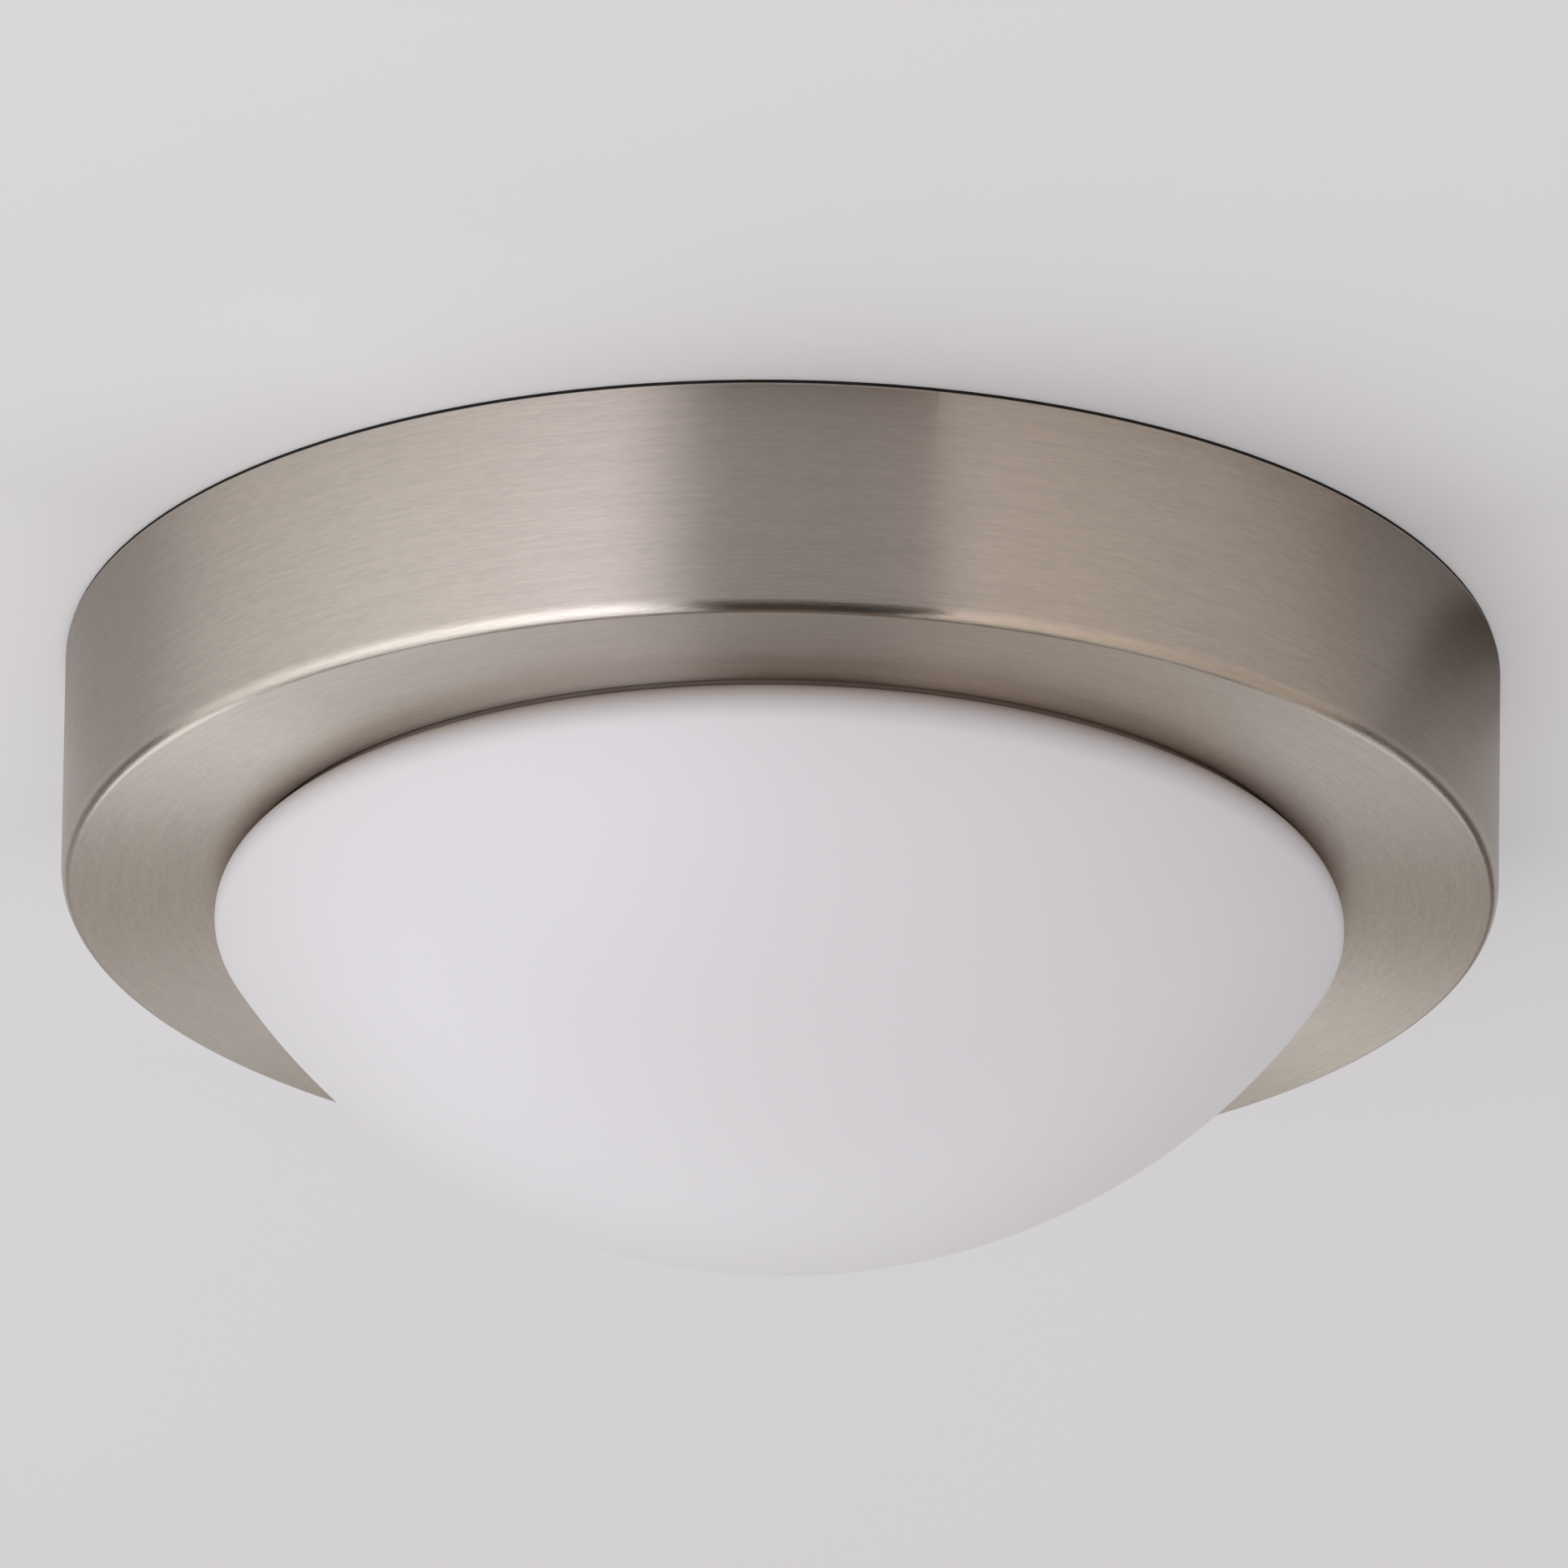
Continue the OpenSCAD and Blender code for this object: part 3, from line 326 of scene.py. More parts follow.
def porcelain():
    """Glazed porcelain: warm white under a clear glaze."""
    return coated("glazed_porcelain", "#f0ede5", "#e7e3d9", 0.25, 2.5 * MM, 0.03 * MM, coat=0.7)


def silicone():
    """Moulded silicone ring: warm grey with a soft shine."""
    return coated("silicone_rubber", "#9a897b", "#8a796b", 0.5, 0.9 * MM, 0.01 * MM, ior=1.41)


def black_rubber():
    """Moulded rubber bush: dull black with a bloom."""
    return coated("moulded_rubber", "#2a2a2b", "#1c1c1d", 0.62, 0.6 * MM, 0.015 * MM, ior=1.52)


def insulation(name, light, dark):
    """Extruded insulation of a lead: even colour and a soft shine."""
    return coated(name, light, dark, 0.4, 0.5 * MM, 0.006 * MM, ior=1.53)


def block_nylon():
    """Moulded nylon of the terminal block: ivory and slightly waxy."""
    return coated("moulded_nylon", "#e6e0cf", "#dad3bf", 0.45, 0.7 * MM, 0.012 * MM, ior=1.53, milky=0.2)


def lamp_globe():
    """Frosted plastic globe of the lamp: white and diffusing."""
    return coated(
        "frosted_polycarbonate", "#f4f2ec", "#ece9e1", 0.42, 0.8 * MM, 0.006 * MM, ior=1.58,
        milky=0.35, milky_depth=2.0 * MM)


def lamp_shell():
    """Moulded housing of the lamp: plain white plastic with a fine texture."""
    return coated("moulded_lamp_housing", "#e9e7e0", "#dedbd2", 0.38, 0.5 * MM, 0.02 * MM, ior=1.55)


def black_glass():
    """Black glass insulator of the cap: glossy."""
    return coated("black_cap_glass", "#1d1d20", "#121214", 0.14, 1.5 * MM, 0.01 * MM, coat=0.6, ior=1.52)


def board_white():
    """White mask on the lamp's board."""
    return coated("white_board_mask", "#eceeed", "#dfe2e0", 0.35, 0.4 * MM, 0.008 * MM)


def chip_yellow():
    """Phosphor of the chips: clear resin over yellow powder."""
    return coated("phosphor_resin", "#ecd04a", "#dcb52f", 0.3, 0.15 * MM, 0.01 * MM, coat=0.5)


def board_green():
    """Green mask on the driver's board."""
    return coated("green_board_mask", "#3c7d50", "#2c6440", 0.33, 0.8 * MM, 0.01 * MM, coat=0.2)


def part_dark():
    """Sleeves and cases of the driver's parts."""
    return coated("dark_component_case", "#46464e", "#33333a", 0.36, 0.5 * MM, 0.008 * MM)


def glass_wool():
    """Glass wool: pale yellow fibres in tufts, drawn 0.4 mm wide, which is as coarse as they need to show."""
    made, tree = blank("glass_wool")
    one_way = grain(tree, 0.4 * MM, 4.0, (0.14, 1, 1))
    other_way = grain(tree, 0.4 * MM, 4.0, (1, 0.14, 1))
    tuft = grain(tree, 7 * MM)
    turn = add(tree, "MapRange", {"Value": tuft, "From Min": 0.4, "From Max": 0.6}, **SOFT)
    strands = add(tree, "Mix", {0: turn, 2: one_way, 3: other_way}, data_type="FLOAT")
    shade = add(tree, "Math", {0: strands, 1: tuft}, operation="MULTIPLY")
    lit = add(tree, "MapRange", {"Value": shade, "From Min": 0.12, "From Max": 0.42}, **SOFT)
    tone = add(tree, "Mix", {0: lit, 6: linear("#c9b777"), 7: linear("#f0e6bf")}, 2, data_type="RGBA")
    shader = add(tree, "BsdfPrincipled", {
        "Base Color": tone, "Roughness": 0.9, "Sheen Weight": 0.4, "Sheen Roughness": 0.5,
        "Normal": add(tree, "Bump", {"Height": strands, "Distance": 0.5 * MM})})
    add(tree, "OutputMaterial", {"Surface": shader})
    return made


PLAIN_FINISHES = [
    (zinc_plate, ["mounting_strap", "fixture_screws", "pan_nuts", "socket_bracket", "bracket_screws",
                  "bracket_nuts", "socket_screws", "block_screws", "earth_nut"]),
    (green_steel, ["ground_screw", "earth_screw"]),
    (copper_steel, ["pan_studs"]),
    (spring_steel, ["shade_clips", "clip_rivets"]),
    (white_enamel, ["reflector_pan"]),
    (silicone, ["neck_gasket"]),
    (porcelain, ["socket_body"]),
    (brass, ["socket_shell", "socket_contact", "terminal_clamps", "terminal_screws", "earth_lug"]),
    (black_rubber, ["wire_grommet"]),
    (block_nylon, ["terminal_block"]),
    (lamp_globe, ["lamp_envelope"]),
    (lamp_shell, ["lamp_housing"]),
    (cap_nickel, ["lamp_screw_shell", "lamp_contact"]),
    (black_glass, ["lamp_insulator"]),
    (board_white, ["led_board"]),
    (chip_yellow, ["led_chips"]),
    (board_green, ["driver_board"]),
    (part_dark, ["driver_parts"]),
]

# Places that each lead passes, as in the part's source, in millimetres
WAY_Z = -9.5
LAMP_Z = -49.0
LUG_Z = -12.35
LEADS = {
    "line_lead": ("black_insulation", "#262628", "#161617", [
        (53, 5, LAMP_Z), (57.5, 5, LAMP_Z), (61, 5.3, -48.6), (64, 7, -45.5), (65, 10.5, -40),
        (64, 15.5, -34), (61, 21.5, -27), (57.5, 27, -21.5), (55.5, 30, -17.5), (55.5, 30, -13.5),
        (55, 28.5, -10.5), (52, 22, -9), (47.5, 14.5, -9.2), (43.5, 10, WAY_Z), (39.5, 10, WAY_Z),
        (34, 10, WAY_Z)]),
    "neutral_lead": ("white_insulation", "#e9e9e6", "#dcdcd8", [
        (53, -5, LAMP_Z), (57.5, -5, LAMP_Z), (62.5, -4.5, -47.5), (66.5, -1, -43.5), (69, 5, -37.5),
        (69.5, 12, -31.5), (66.5, 20, -26), (61.5, 27, -21), (58.5, 30, -17.5), (58.5, 30, -13.5),
        (58.8, 28, -10.5), (57.5, 20, -9), (53.5, 11, -9.2), (48.5, 3.5, -9.4), (43.5, 0, WAY_Z),
        (39.5, 0, WAY_Z), (34, 0, WAY_Z)]),
    "earth_lead": ("green_insulation", "#3f9a4c", "#2f7d3b", [
        (34, -10, WAY_Z), (39.5, -10, WAY_Z), (43, -10.2, -10), (46.5, -11.6, -11.3), (49.4, -14, -12.1),
        (51.0, -16.34, LUG_Z), (52.7, -19.28, LUG_Z)]),
}


def arc(x, z, radius, start, stop, steps):
    """Points of an arc about (x, z), from one angle to another, in degrees."""
    angles = [math.radians(start + (stop - start) * i / steps) for i in range(steps + 1)]
    return [(x + radius * math.cos(a), z + radius * math.sin(a)) for a in angles]


def clear_selection():
    """Leaves nothing selected, so that the next operator acts on the new piece alone."""
    if bpy.context.object and bpy.context.object.mode != "OBJECT":
        bpy.ops.object.mode_set(mode="OBJECT")
    bpy.ops.object.select_all(action="DESELECT")


def first_point(name, place):
    """Starts a piece from one point and leaves it in edit mode."""
    clear_selection()
    bpy.ops.mesh.primitive_plane_add(size=MM, location=(0, 0, 0))
    piece = bpy.context.object
    piece.name = piece.data.name = name
    bpy.ops.object.mode_set(mode="EDIT")
    bpy.ops.mesh.merge(type="CENTER")
    bpy.ops.transform.translate(value=place)
    return piece


def turned(name, points, steps, closed=True):
    """Draws an outline of (radius, height) points and spins it about the vertical axis."""
    piece = first_point(name, (points[0][0], 0, points[0][1]))
    path = points + points[:1] if closed else points
    for a, b in zip(path, path[1:]):
        bpy.ops.mesh.extrude_vertices_move(TRANSFORM_OT_translate={"value": (b[0] - a[0], 0, b[1] - a[1])})
    bpy.ops.mesh.select_all(action="SELECT")
    bpy.ops.mesh.spin(steps=steps, angle=2 * math.pi, center=(0, 0, 0), axis=(0, 0, 1))
    bpy.ops.mesh.select_all(action="SELECT")
    bpy.ops.mesh.remove_doubles(threshold=1e-6)
    bpy.ops.mesh.normals_make_consistent(inside=False)
    bpy.ops.object.mode_set(mode="OBJECT")
    return piece


def smooth(piece, degrees=35):
    """Smooth shading that keeps the edges sharper than the angle."""
    clear_selection()
    piece.select_set(True)
    bpy.context.view_layer.objects.active = piece
    bpy.ops.object.shade_smooth_by_angle(angle=math.radians(degrees))


def ring_map(piece):
    """UV map whose first axis runs once round the vertical axis, and whose second covers 250 mm across it."""
    layer = piece.data.uv_layers.new(name="finish")
    vertices = piece.data.vertices
    turn = 2 * math.pi
    for face in piece.data.polygons:
        middle = math.atan2(face.center.y, face.center.x)
        for loop in face.loop_indices:
            at = vertices[piece.data.loops[loop].vertex_index].co
            corner = math.atan2(at.y, at.x)
            corner += turn * round((middle - corner) / turn)
            layer.data[loop].uv = (corner / turn + 0.5, (math.hypot(at.x, at.y) + at.z) / 0.25)


def dress(piece, finish):
    """Gives a piece one material and nothing else."""
    piece.data.materials.clear()
    piece.data.materials.append(finish)


def stand_for(piece, node, finish, body):
    """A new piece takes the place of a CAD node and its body."""
    dress(piece, finish)
    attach(piece, body)
    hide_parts(node)


class CEILINGLIGHT_OT_canopy(bpy.types.Operator):
    """Spin the drum: wall, rounded corner, flat ring and turned-up lip"""
    bl_idname = "ceiling_light.canopy"
    bl_label = "Canopy"

    def execute(self, context):
        s = context.scene.canopy
        lip = s.lip_height - s.height
        corner = [(s.radius - s.corner * (1 - c), s.corner_height * (1 + h) - s.height)
                  for c, h in arc(0, 0, 1, 0, -90, 16)]
        outline = (
            arc(s.radius - s.rim, -s.rim, s.rim, 90, 0, 4)
            + corner
            + arc(s.opening + s.lip_bend, s.lip_bend - s.height, s.lip_bend, -90, -180, 12)
            + arc(s.opening + s.sheet / 2, lip - s.sheet / 2, s.sheet / 2, 180, 0, 8)
            + arc(s.opening + s.lip_bend, s.lip_bend - s.height, s.lip_bend - s.sheet, -180, -90, 8)
            + arc(s.radius - s.corner, s.corner - s.height, s.corner - s.sheet, -90, 0, 10)
            + arc(s.radius - s.sheet + s.rim, -s.rim, s.rim, 180, 90, 4))
        shell = turned("spun_canopy", outline, 256)
        ring_map(shell)
        smooth(shell)
        stand_for(shell, "canopy_shell", brushed_nickel(s), "canopy")
        return {"FINISHED"}


class CEILINGLIGHT_OT_dome(bpy.types.Operator):
    """Spin the opal dome with its shoulder, neck and bead"""
    bl_idname = "ceiling_light.dome"
    bl_label = "Glass dome"

    def execute(self, context):
        s = context.scene.glass
        low, high = (p.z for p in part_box("glass_shade"))
        top = -context.scene.canopy.height - s.gap
        x, z = s.radius - s.shoulder, top - s.shoulder
        rise = z - low
        dome = (x ** 2 + rise ** 2 - s.shoulder ** 2) / (2 * (rise - s.shoulder))
        centre = low + dome
        edge = math.degrees(math.atan2(z - centre, x))
        bead = high - s.wall / 2 - s.bead_height / 2
        bulge = [(s.neck + s.bead_out * c, bead + s.bead_height * h / 2)
                 for c, h in arc(0, 0, 1, -90, 90, 14)]
        outline = (
            arc(0, centre, dome, -90, edge, 64)
            + arc(x, z, s.shoulder, edge, 90, 24)[1:]
            + arc(s.neck + s.neck_fillet, top + s.neck_fillet, s.neck_fillet, 270, 180, 8)
            + bulge
            + arc(s.neck - s.wall / 2, high - s.wall / 2, s.wall / 2, 15, 180, 14)
            + arc(s.neck + s.neck_fillet, top + s.neck_fillet, s.neck_fillet + s.wall, 180, 270, 10)
            + arc(x, z, s.shoulder - s.wall, 90, edge, 12)
            + arc(0, centre, dome - s.wall, edge, -90, 64)[1:])
        shade = turned("opal_dome", outline, 256, closed=False)
        smooth(shade, 50)
        stand_for(shade, "glass_shade", opal_glass(s, top), "shade")
        return {"FINISHED"}


class CEILINGLIGHT_OT_fibre_ring(bpy.types.Operator):
    """Make the soft ring of glass wool above the pan"""
    bl_idname = "ceiling_light.fibre_ring"
    bl_label = "Glass-wool ring"

    def execute(self, context):
        s = context.scene.inside
        low, high = (p.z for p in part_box("insulation_pad"))
        low, high = low + s.lump, high - s.lump
        inner, outer = reach("insulation_pad", min) + s.lump, reach("insulation_pad", max) - s.lump
        faces = round((outer - inner) / (2.2 * MM))
        flat = [inner + s.edge + (outer - inner - 2 * s.edge) * i / faces for i in range(1, faces)]
        outline = (
            arc(inner + s.edge, low + s.edge, s.edge, 270, 180, 4)
            + arc(inner + s.edge, high - s.edge, s.edge, 180, 90, 4)
            + [(x, high) for x in flat]
            + arc(outer - s.edge, high - s.edge, s.edge, 90, 0, 4)
            + arc(outer - s.edge, low + s.edge, s.edge, 0, -90, 4)
            + [(x, low) for x in reversed(flat)])
        ring = turned("glass_wool_ring", outline, 220)
        lumps = bpy.data.textures.new("wool_lumps", "CLOUDS")
        lumps.noise_scale = s.lump_size
        lumps.noise_depth = 4
        for kind, settings in (
                ("SUBSURF", {"levels": 1, "render_levels": 1}),
                ("DISPLACE", {"texture": lumps, "strength": 2 * s.lump, "mid_level": 0.5,
                              "texture_coords": "LOCAL"})):
            step = ring.modifiers.new(kind.lower(), kind)
            for name, value in settings.items():
                setattr(step, name, value)
            bpy.ops.object.modifier_apply(modifier=step.name)
        smooth(ring, 180)
        stand_for(ring, "insulation_pad", glass_wool(), "canopy")
        return {"FINISHED"}


class CEILINGLIGHT_OT_leads(bpy.types.Operator):
    """Lay the three leads through the bush to the terminal block"""
    bl_idname = "ceiling_light.leads"
    bl_label = "Leads"

    def execute(self, context):
        for node, (slot, light, dark, route) in LEADS.items():
            clear_selection()
            bpy.ops.curve.primitive_bezier_curve_add(location=(0, 0, 0))
            lead = bpy.context.object
            lead.name = lead.data.name = "smooth_" + node
            points = lead.data.splines[0].bezier_points
            points.add(len(route) - 2)
            for point, spot in zip(points, route):
                point.co = Vector(spot) * MM
                point.handle_left_type = point.handle_right_type = "AUTO"
            lead.data.bevel_depth = context.scene.inside.lead / 2
            lead.data.bevel_resolution = 6
            lead.data.resolution_u = 8
            lead.data.use_fill_caps = True
            bpy.ops.object.convert(target="MESH")
            smooth(bpy.context.object, 50)
            stand_for(bpy.context.object, node, insulation(slot, light, dark), "canopy")
        return {"FINISHED"}


class CEILINGLIGHT_OT_finishes(bpy.types.Operator):
    """Give each CAD piece that stays its own finish"""
    bl_idname = "ceiling_light.finishes"
    bl_label = "Finishes"

    def execute(self, context):
        for make, names in PLAIN_FINISHES:
            finish = make()
            for name in names:
                dress(NODES[name], finish)
        return {"FINISHED"}


# What the metal reflects. A wall has tones at azimuths in degrees, 0 in front of the light and rising to
# its right. A strip under the ceiling is painted shadow: a dark sheet that only the metal sees, in place of
# the drum's shadow on the ceiling. It has corners (x, y) in metres, and shares of its full cover along its
# way and outward from the axis.
WALLS_AWAY = 1.3
DOORWAY_AWAY = 1.2
ROOM_HEIGHT = 2.6
UNDER_CEILING = 0.4 * MM
WALL_TOP = 4 * MM
SIDE_WALLS = [
    (-110, "#45443f"), (-96, "#a9abac"), (-72, "#c8cccf"), (-48, "#e0e3e8"), (-30, "#f3f5fc"), (0, "#f0f2f8"),
    (24.3, "#aba098"), (50, "#958a7e"), (72, "#7c7267"), (92, "#786d61"), (98, "#332b24"), (110, "#201c17")]
BACK_WALL = [
    (110, "#201c17"), (135, "#2f2b27"), (155, "#54504c"), (180, "#817f7c"), (210, "#6f6f6d"),
    (235, "#3c3a38"), (250, "#2d2b29")]
BACK_FLOOR = [(110, "#949698"), (165, "#999b9d"), (180, "#a6a9aa"), (192, "#bcc0c3"), (250, "#bcc0c3")]
DOORWAY = [(-25, "#1a1410"), (25, "#1a1410")]
DOORWAY_COVER = [(-25, 0), (-12, 1), (23.9, 1), (24.3, 0)]
FULL_FLOOR = [(-1.8, -1.8), (1.8, -1.8), (1.8, 1.8), (-1.8, 1.8)]
# Painted shadow on the ceiling close to the drum, to its right, left and front, seen only in the metal
RIGHT_SHADOW = [(0.088, -0.11), (0.44, -0.14), (0.44, 0.06), (0.132, 0.05)]
RIGHT_SHADOW_ALONG = [
    (-0.12, 0), (-0.085, 0.4), (-0.05, 0.45), (-0.034, 1), (-0.016, 1), (-0.002, 0.7), (0.01, 0.7),
    (0.03, 0.2), (0.05, 0)]
RIGHT_SHADOW_OUT = [(0.14, 0.85), (0.155, 1), (0.21, 0.5), (0.26, 0.3)]
LEFT_SHADE = [(-0.088, -0.11), (-0.132, 0.05), (-0.3, 0.06), (-0.3, -0.14)]
LEFT_SHADE_ALONG = [(-0.1, 0), (-0.06, 0.14), (-0.02, 0.22), (0.02, 0.22), (0.05, 0)]
LEFT_SHADE_OUT = [(0.14, 1), (0.16, 1), (0.22, 0.6)]
FRONT = [(-0.0320, -0.1365), (-0.104, -0.375), (0.1318, -0.3649), (0.0294, -0.1369)]
FRONT_WAY = (0.959, -0.284, 0)
FRONT_ALONG = [(0.010, 0), (0.028, 1)]
FRONT_OUT = [(0.14, 0.36), (0.152, 0.18), (0.17, 0.05), (0.24, 0.08)]

# Painted light: a glow that lightens the ceiling near the drum, seen only by the camera, in place of light
# the drum throws back on it, by x over the distance from the axis
PAINTED_GLOW = [(-1.0, 0.07), (-0.87, 0.01), (-0.5, 0.06), (0.0, 0.01), (0.5, 0.0), (0.87, 0.03), (1.0, 0.11)]

# What the camera looks at, near the middle of the light
AIM = Vector((0.52, 0, -24)) * MM


def ramp(tree, value, stops):
    """Colours or shares along a value: stops are (value, hex sRGB or share)."""
    low, high = stops[0][0], stops[-1][0]
    share = add(tree, "MapRange", {"Value": value, "From Min": low, "From Max": high})
    made = add(tree, "ValToRGB", {"Fac": share})
    elements = made.node.color_ramp.elements
    for i, (at, tone) in enumerate(stops):
        stop = elements[i] if i < 2 else elements.new(1.0)
        stop.position = (at - low) / (high - low)
        stop.color = linear(tone) if isinstance(tone, str) else [tone, tone, tone, 1.0]
    return made


def show_on_face(tree, shader):
    """Ends a material that shows on the face of a piece and is clear on its back."""
    behind = add(tree, "NewGeometry", output="Backfacing")
    add(tree, "OutputMaterial", {"Surface": add(tree, "MixShader", {
        0: behind, 1: shader, 2: add(tree, "BsdfTransparent")})})


def one_sided_paint(name, code):
    """Matt paint on the face of a piece, and nothing on its back."""
    made, tree = blank(name)
    show_on_face(tree, add(tree, "BsdfPrincipled", {"Base Color": linear(code), "Roughness": 0.9}))
    return made


def ceiling_paint(s):
    """Matt white paint, rolled on, with a painted glow near the drum that only the camera sees. From above it
    is clear, so that the back of the light shows.
    """
    made, tree = blank("matt_wall_paint")
    shade = [c * 0.985 for c in s.ceiling]
    paint = add(tree, "BsdfPrincipled", {
        "Base Color": add(tree, "Mix", {
            0: grain(tree, 0.25, 1.0), 6: [*s.ceiling, 1.0], 7: [*shade, 1.0]}, 2, data_type="RGBA"),
        "Roughness": 0.85,
        "Normal": add(tree, "Bump", {"Height": grain(tree, 1.5 * MM), "Distance": 0.02 * MM})})
    where = add(tree, "TexCoord", output="Object")
    out = add(tree, "VectorMath", {0: where}, "Value", operation="LENGTH")
    side = add(tree, "Math", {0: add(tree, "SeparateXYZ", {0: where}, "X"), 1: out}, operation="DIVIDE")
    # Painted light: a glow near the drum, for camera rays only
    near = add(tree, "MapRange", {
        "Value": out, "From Min": 0.16, "From Max": 0.24, "To Min": 1.0, "To Max": 0.0}, **SOFT)
    seen = add(tree, "Math", {
        0: near, 1: add(tree, "LightPath", output="Is Camera Ray")}, operation="MULTIPLY")
    painted_glow = add(tree, "Emission", {"Color": ramp(tree, side, PAINTED_GLOW), "Strength": seen})
    show_on_face(tree, add(tree, "AddShader", {0: paint, 1: painted_glow}))
    return made


def seen_only_by(piece, rays):
    """Hides a stage piece from every other kind of ray."""
    for kind in ("camera", "diffuse", "glossy", "shadow", "transmission"):
        setattr(piece, "visible_" + kind, kind == rays)


def round_stage(name, profile, paint):
    """A stage piece that is turned from a profile and faces down or away from the axis."""
    piece = turned(name, profile, 128, closed=False)
    face = piece.data.polygons[0]
    high_above = Vector((0, 0, 1))
    if face.normal.dot(face.center - high_above) < 0:
        piece.data.flip_normals()
    dress(piece, paint)
    return piece


def hang_ceiling(s, radius):
    """The ceiling round the light, a black collar painted as the shadow in the gap at the drum's rim, and
    what the pan's holes show of it.
    """
    over = 0.7 * MM
    under_rim = radius - 2 * MM
    rim = radius - 0.25 * MM
    round_stage("ceiling", [(r, over) for r in (under_rim, 0.3, 1.0, 5.0)], ceiling_paint(s))
    # Painted shadow: a black collar on the rim where the gap to the ceiling is in shade
    round_stage("shadow_gap", [(rim, 0.02 * MM), (rim, over)], one_sided_paint("black_shadow_gap", "#0d0b0a"))
    hidden = round_stage(
        "hidden_ceiling", [(1 * MM, over), (under_rim, over)], one_sided_paint("bare_ceiling", "#8b8781"))
    seen_only_by(hidden, "camera")


def make_screen(piece, strength, tone, cover):
    """Makes a piece a screen that only metal and gloss see. Tone and cover add their nodes to its tree."""
    made, tree = blank(piece.name + "_screen")
    light = add(tree, "Emission", {"Color": tone(tree), "Strength": strength})
    add(tree, "OutputMaterial", {"Surface": add(tree, "MixShader", {
        0: cover(tree), 1: add(tree, "BsdfTransparent"), 2: light})})
    dress(piece, made)
    seen_only_by(piece, "glossy")


def flat_screen(name, code, corners, depth, along=None, out=None, way=(0, 1, 0)):
    """A flat screen at a depth below the ceiling, whose cover changes along its way and outward."""
    clear_selection()
    bpy.ops.mesh.primitive_plane_add(size=MM, location=(0, 0, 0))
    piece = bpy.context.object
    piece.name = piece.data.name = name
    for vertex, corner in zip(piece.data.vertices, [corners[i] for i in (0, 1, 3, 2)]):
        vertex.co = (*corner, -depth)

    def cover(tree):
        if not along:
            return 1.0
        where = add(tree, "TexCoord", output="Object")
        forward = add(tree, "VectorMath", {0: where, 1: way}, "Value", operation="DOT_PRODUCT")
        outward = add(tree, "VectorMath", {0: where}, "Value", operation="LENGTH")
        return add(tree, "Math", {
            0: ramp(tree, forward, along), 1: ramp(tree, outward, out)}, operation="MULTIPLY")

    make_screen(piece, 1.0, lambda tree: linear(code), cover)


def standing_screen(name, tones, strength, top, bottom, away=WALLS_AWAY, covers=None, greyed=0.0):
    """An upright screen with tones and shares at azimuths. Top and bottom are depths below the ceiling."""
    first, last = tones[0][0], tones[-1][0]
    half = math.radians(last - first) / 2
    middle = math.radians(first + last) / 2
    start = math.radians(first - 90)
    piece = first_point(name, (away * math.cos(start), away * math.sin(start), -top))
    bpy.ops.mesh.extrude_vertices_move(TRANSFORM_OT_translate={"value": (0, 0, top - bottom)})
    bpy.ops.mesh.select_all(action="SELECT")
    bpy.ops.mesh.spin(steps=48, angle=-2 * half, center=(0, 0, 0), axis=(0, 0, 1))
    bpy.ops.object.mode_set(mode="OBJECT")

    def azimuth(tree):
        where = add(tree, "TexCoord", output="Object")
        aside = add(tree, "VectorMath", {
            0: where, 1: (math.cos(middle), math.sin(middle), 0)}, "Value", operation="DOT_PRODUCT")
        ahead = add(tree, "VectorMath", {
            0: where, 1: (math.sin(middle), -math.cos(middle), 0)}, "Value", operation="DOT_PRODUCT")
        return add(tree, "MapRange", {
            "Value": add(tree, "Math", {0: aside, 1: ahead}, operation="ARCTAN2"),
            "From Min": -half, "From Max": half, "To Min": first, "To Max": last})

    def tone(tree):
        height = add(tree, "SeparateXYZ", {0: add(tree, "TexCoord", output="Object")}, "Z")
        low = add(tree, "MapRange", {
            "Value": height, "From Min": -1.2, "From Max": -0.3, "To Min": greyed, "To Max": 0.0}, **SOFT)
        plain = ramp(tree, azimuth(tree), tones)
        return add(tree, "Mix", {0: low, 6: plain, 7: linear("#93989d")}, 2, data_type="RGBA")

    def cover(tree):
        return ramp(tree, azimuth(tree), covers) if covers else 1.0

    make_screen(piece, strength, tone, cover)


def stand_screens(s):
    """What the brushed metal reflects: the room's walls with a dark doorway, the floor, and painted shadow on
    the ceiling by the drum.
    """
    standing_screen("side_walls", SIDE_WALLS, s.walls, WALL_TOP, ROOM_HEIGHT, greyed=0.4)
    standing_screen("back_wall", BACK_WALL, s.walls, WALL_TOP, 0.6)
    standing_screen("back_floor", BACK_FLOOR, s.walls, 0.7, 1.32)
    standing_screen("doorway", DOORWAY, 1.0, WALL_TOP, ROOM_HEIGHT, DOORWAY_AWAY, DOORWAY_COVER)
    flat_screen("dark_floor", "#7a7068", FULL_FLOOR, ROOM_HEIGHT)
    # Painted shadow: dark strips under the ceiling that only the metal sees, in place of the drum's shadow on
    # it
    flat_screen("right_shadow", "#2c1c10", RIGHT_SHADOW, UNDER_CEILING, RIGHT_SHADOW_ALONG, RIGHT_SHADOW_OUT)
    flat_screen("left_shade", "#4a4036", LEFT_SHADE, UNDER_CEILING, LEFT_SHADE_ALONG, LEFT_SHADE_OUT)
    flat_screen("front", "#4a3420", FRONT, UNDER_CEILING, FRONT_ALONG, FRONT_OUT, FRONT_WAY)


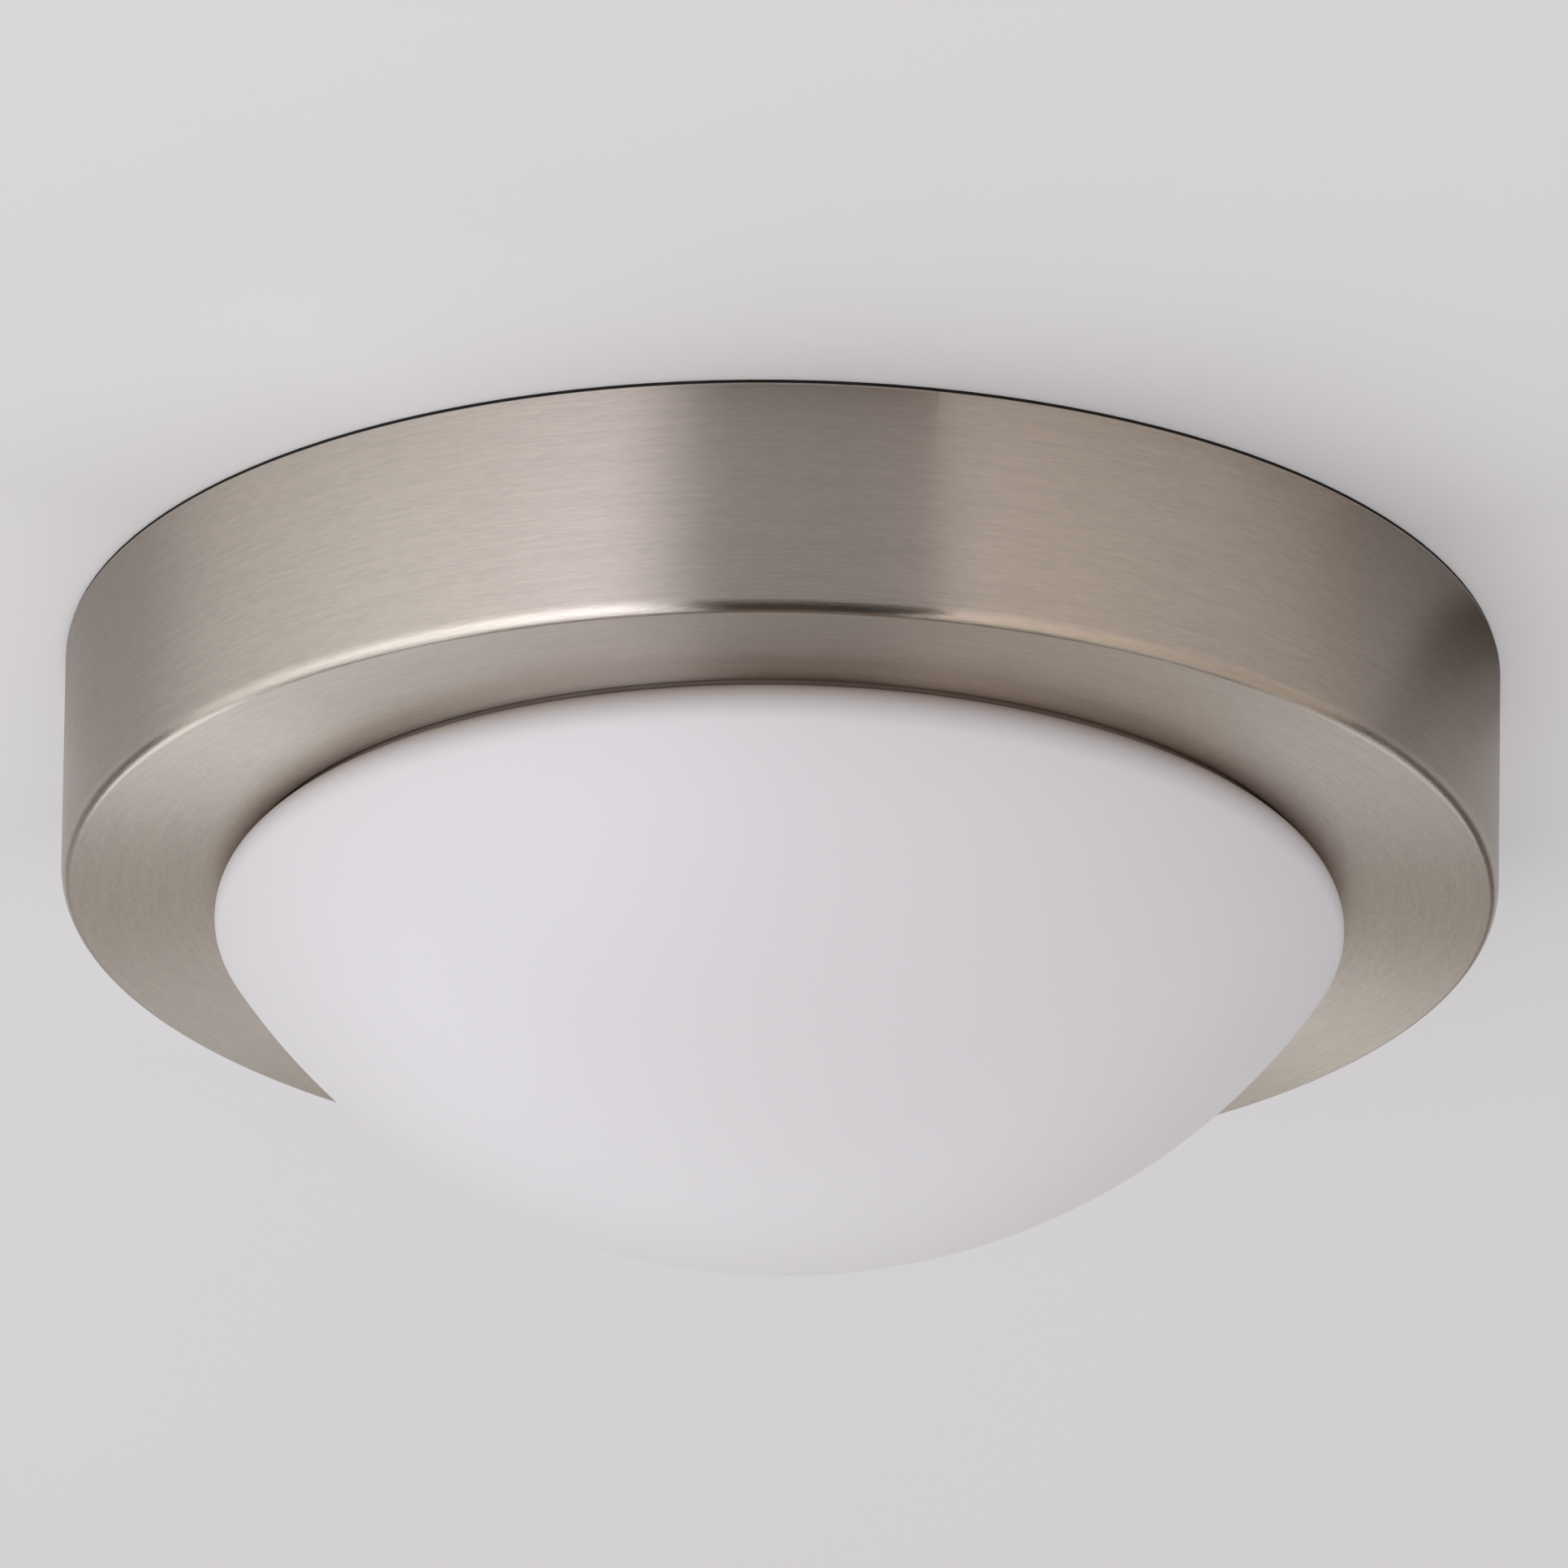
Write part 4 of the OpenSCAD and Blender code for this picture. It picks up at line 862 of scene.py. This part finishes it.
def soft_lamp(name, azimuth, rise, away, wide, tall, bright, glossy=False):
    """A rectangular lamp that faces the light, hidden from the camera and, unless told, from gloss."""
    data = bpy.data.lights.new(name, "AREA")
    data.shape = "RECTANGLE"
    data.size, data.size_y = wide, tall
    data.energy = bright * math.pi * wide * tall
    lamp = bpy.data.objects.new(name, data)
    a, e = math.radians(azimuth), math.radians(rise)
    out = Vector((math.sin(a) * math.cos(e), -math.cos(a) * math.cos(e), math.sin(e)))
    lamp.matrix_world = Matrix.Translation(out * away) @ out.to_track_quat("Z", "Y").to_matrix().to_4x4()
    lamp.visible_camera = False
    lamp.visible_glossy = glossy
    bpy.context.scene.collection.objects.link(lamp)


def light_room(s):
    """Even light from the room, paler where the camera, gloss and glass see it."""
    world = bpy.data.worlds.new("room")
    bpy.context.scene.world = world
    world.use_nodes = True
    tree = world.node_tree
    tree.nodes.clear()
    seen = add(tree, "LightPath", output="Is Camera Ray")
    for kind in ("Is Glossy Ray", "Is Transmission Ray"):
        seen = add(tree, "Math", {0: seen, 1: add(tree, "LightPath", output=kind)}, operation="MAXIMUM")
    tone = add(tree, "Mix", {0: seen, 6: [*s.room, 1.0], 7: [*s.backdrop, 1.0]}, 2, data_type="RGBA")
    add(tree, "OutputWorld", {"Surface": add(tree, "Background", {"Color": tone})})


def place_camera(s):
    """Camera below and in front, at the photograph's angle and framing."""
    ahead = Vector((0, math.cos(s.rise), math.sin(s.rise)))
    up = Vector((0, -math.sin(s.rise), math.cos(s.rise)))
    right = Vector((1, 0, 0))
    turned_right = right * math.cos(s.roll) + up * math.sin(s.roll)
    turned_up = up * math.cos(s.roll) - right * math.sin(s.roll)
    data = bpy.data.cameras.new("camera")
    data.lens, data.sensor_width = s.lens, 36.0
    camera = bpy.data.objects.new("camera", data)
    axes = Matrix((turned_right, turned_up, -ahead)).transposed().to_4x4()
    camera.matrix_world = Matrix.Translation(AIM - ahead * s.distance) @ axes
    bpy.context.scene.collection.objects.link(camera)
    bpy.context.scene.camera = camera


class CEILINGLIGHT_OT_stage(bpy.types.Operator):
    """Set up the ceiling, the lamps, the room and the camera"""
    bl_idname = "ceiling_light.stage"
    bl_label = "Stage"

    def execute(self, context):
        s = context.scene.stage
        hang_ceiling(s, context.scene.canopy.radius)
        stand_screens(s)
        soft_lamp("key_lamp", azimuth=-62, rise=-40, away=1.6, wide=3.2, tall=1.4, bright=s.key)
        soft_lamp("fill_lamp", azimuth=115, rise=-35, away=1.6, wide=2.4, tall=1.4, bright=s.fill)
        soft_lamp("inside_lamp", azimuth=0, rise=89, away=0.6, wide=0.5, tall=0.5, bright=0.8, glossy=True)
        light_room(s)
        place_camera(s)
        context.scene.view_settings.view_transform = "Standard"
        return {"FINISHED"}


OPERATORS = (
    CEILINGLIGHT_OT_stage, CEILINGLIGHT_OT_canopy, CEILINGLIGHT_OT_dome, CEILINGLIGHT_OT_fibre_ring,
    CEILINGLIGHT_OT_leads, CEILINGLIGHT_OT_finishes)
SETTINGS = {
    "canopy": CanopySettings, "glass": GlassSettings, "inside": InsideSettings, "stage": StageSettings}


class CEILINGLIGHT_PT_panel(bpy.types.Panel):
    """Sizes, colours and steps of the ceiling light"""
    bl_label = "Ceiling light"
    bl_space_type = "VIEW_3D"
    bl_region_type = "UI"
    bl_category = "Ceiling light"

    def draw(self, context):
        for name, group in SETTINGS.items():
            box = self.layout.box()
            box.label(text=name.capitalize())
            for prop in group.__annotations__:
                box.prop(getattr(context.scene, name), prop)
        for operator in OPERATORS:
            self.layout.operator(operator.bl_idname)


CLASSES = (*SETTINGS.values(), *OPERATORS, CEILINGLIGHT_PT_panel)


def register():
    """Makes the settings, the operators and the panel known."""
    for item in CLASSES:
        bpy.utils.register_class(item)
    for name, group in SETTINGS.items():
        setattr(bpy.types.Scene, name, PointerProperty(type=group))


def unregister():
    """Takes them away again."""
    for name in SETTINGS:
        delattr(bpy.types.Scene, name)
    for item in reversed(CLASSES):
        bpy.utils.unregister_class(item)


def main():
    """Builds the whole light."""
    register()
    bpy.ops.ceiling_light.stage()
    bpy.ops.ceiling_light.canopy()
    bpy.ops.ceiling_light.dome()
    bpy.ops.ceiling_light.fibre_ring()
    bpy.ops.ceiling_light.leads()
    bpy.ops.ceiling_light.finishes()


if __name__ == "__main__":
    main()
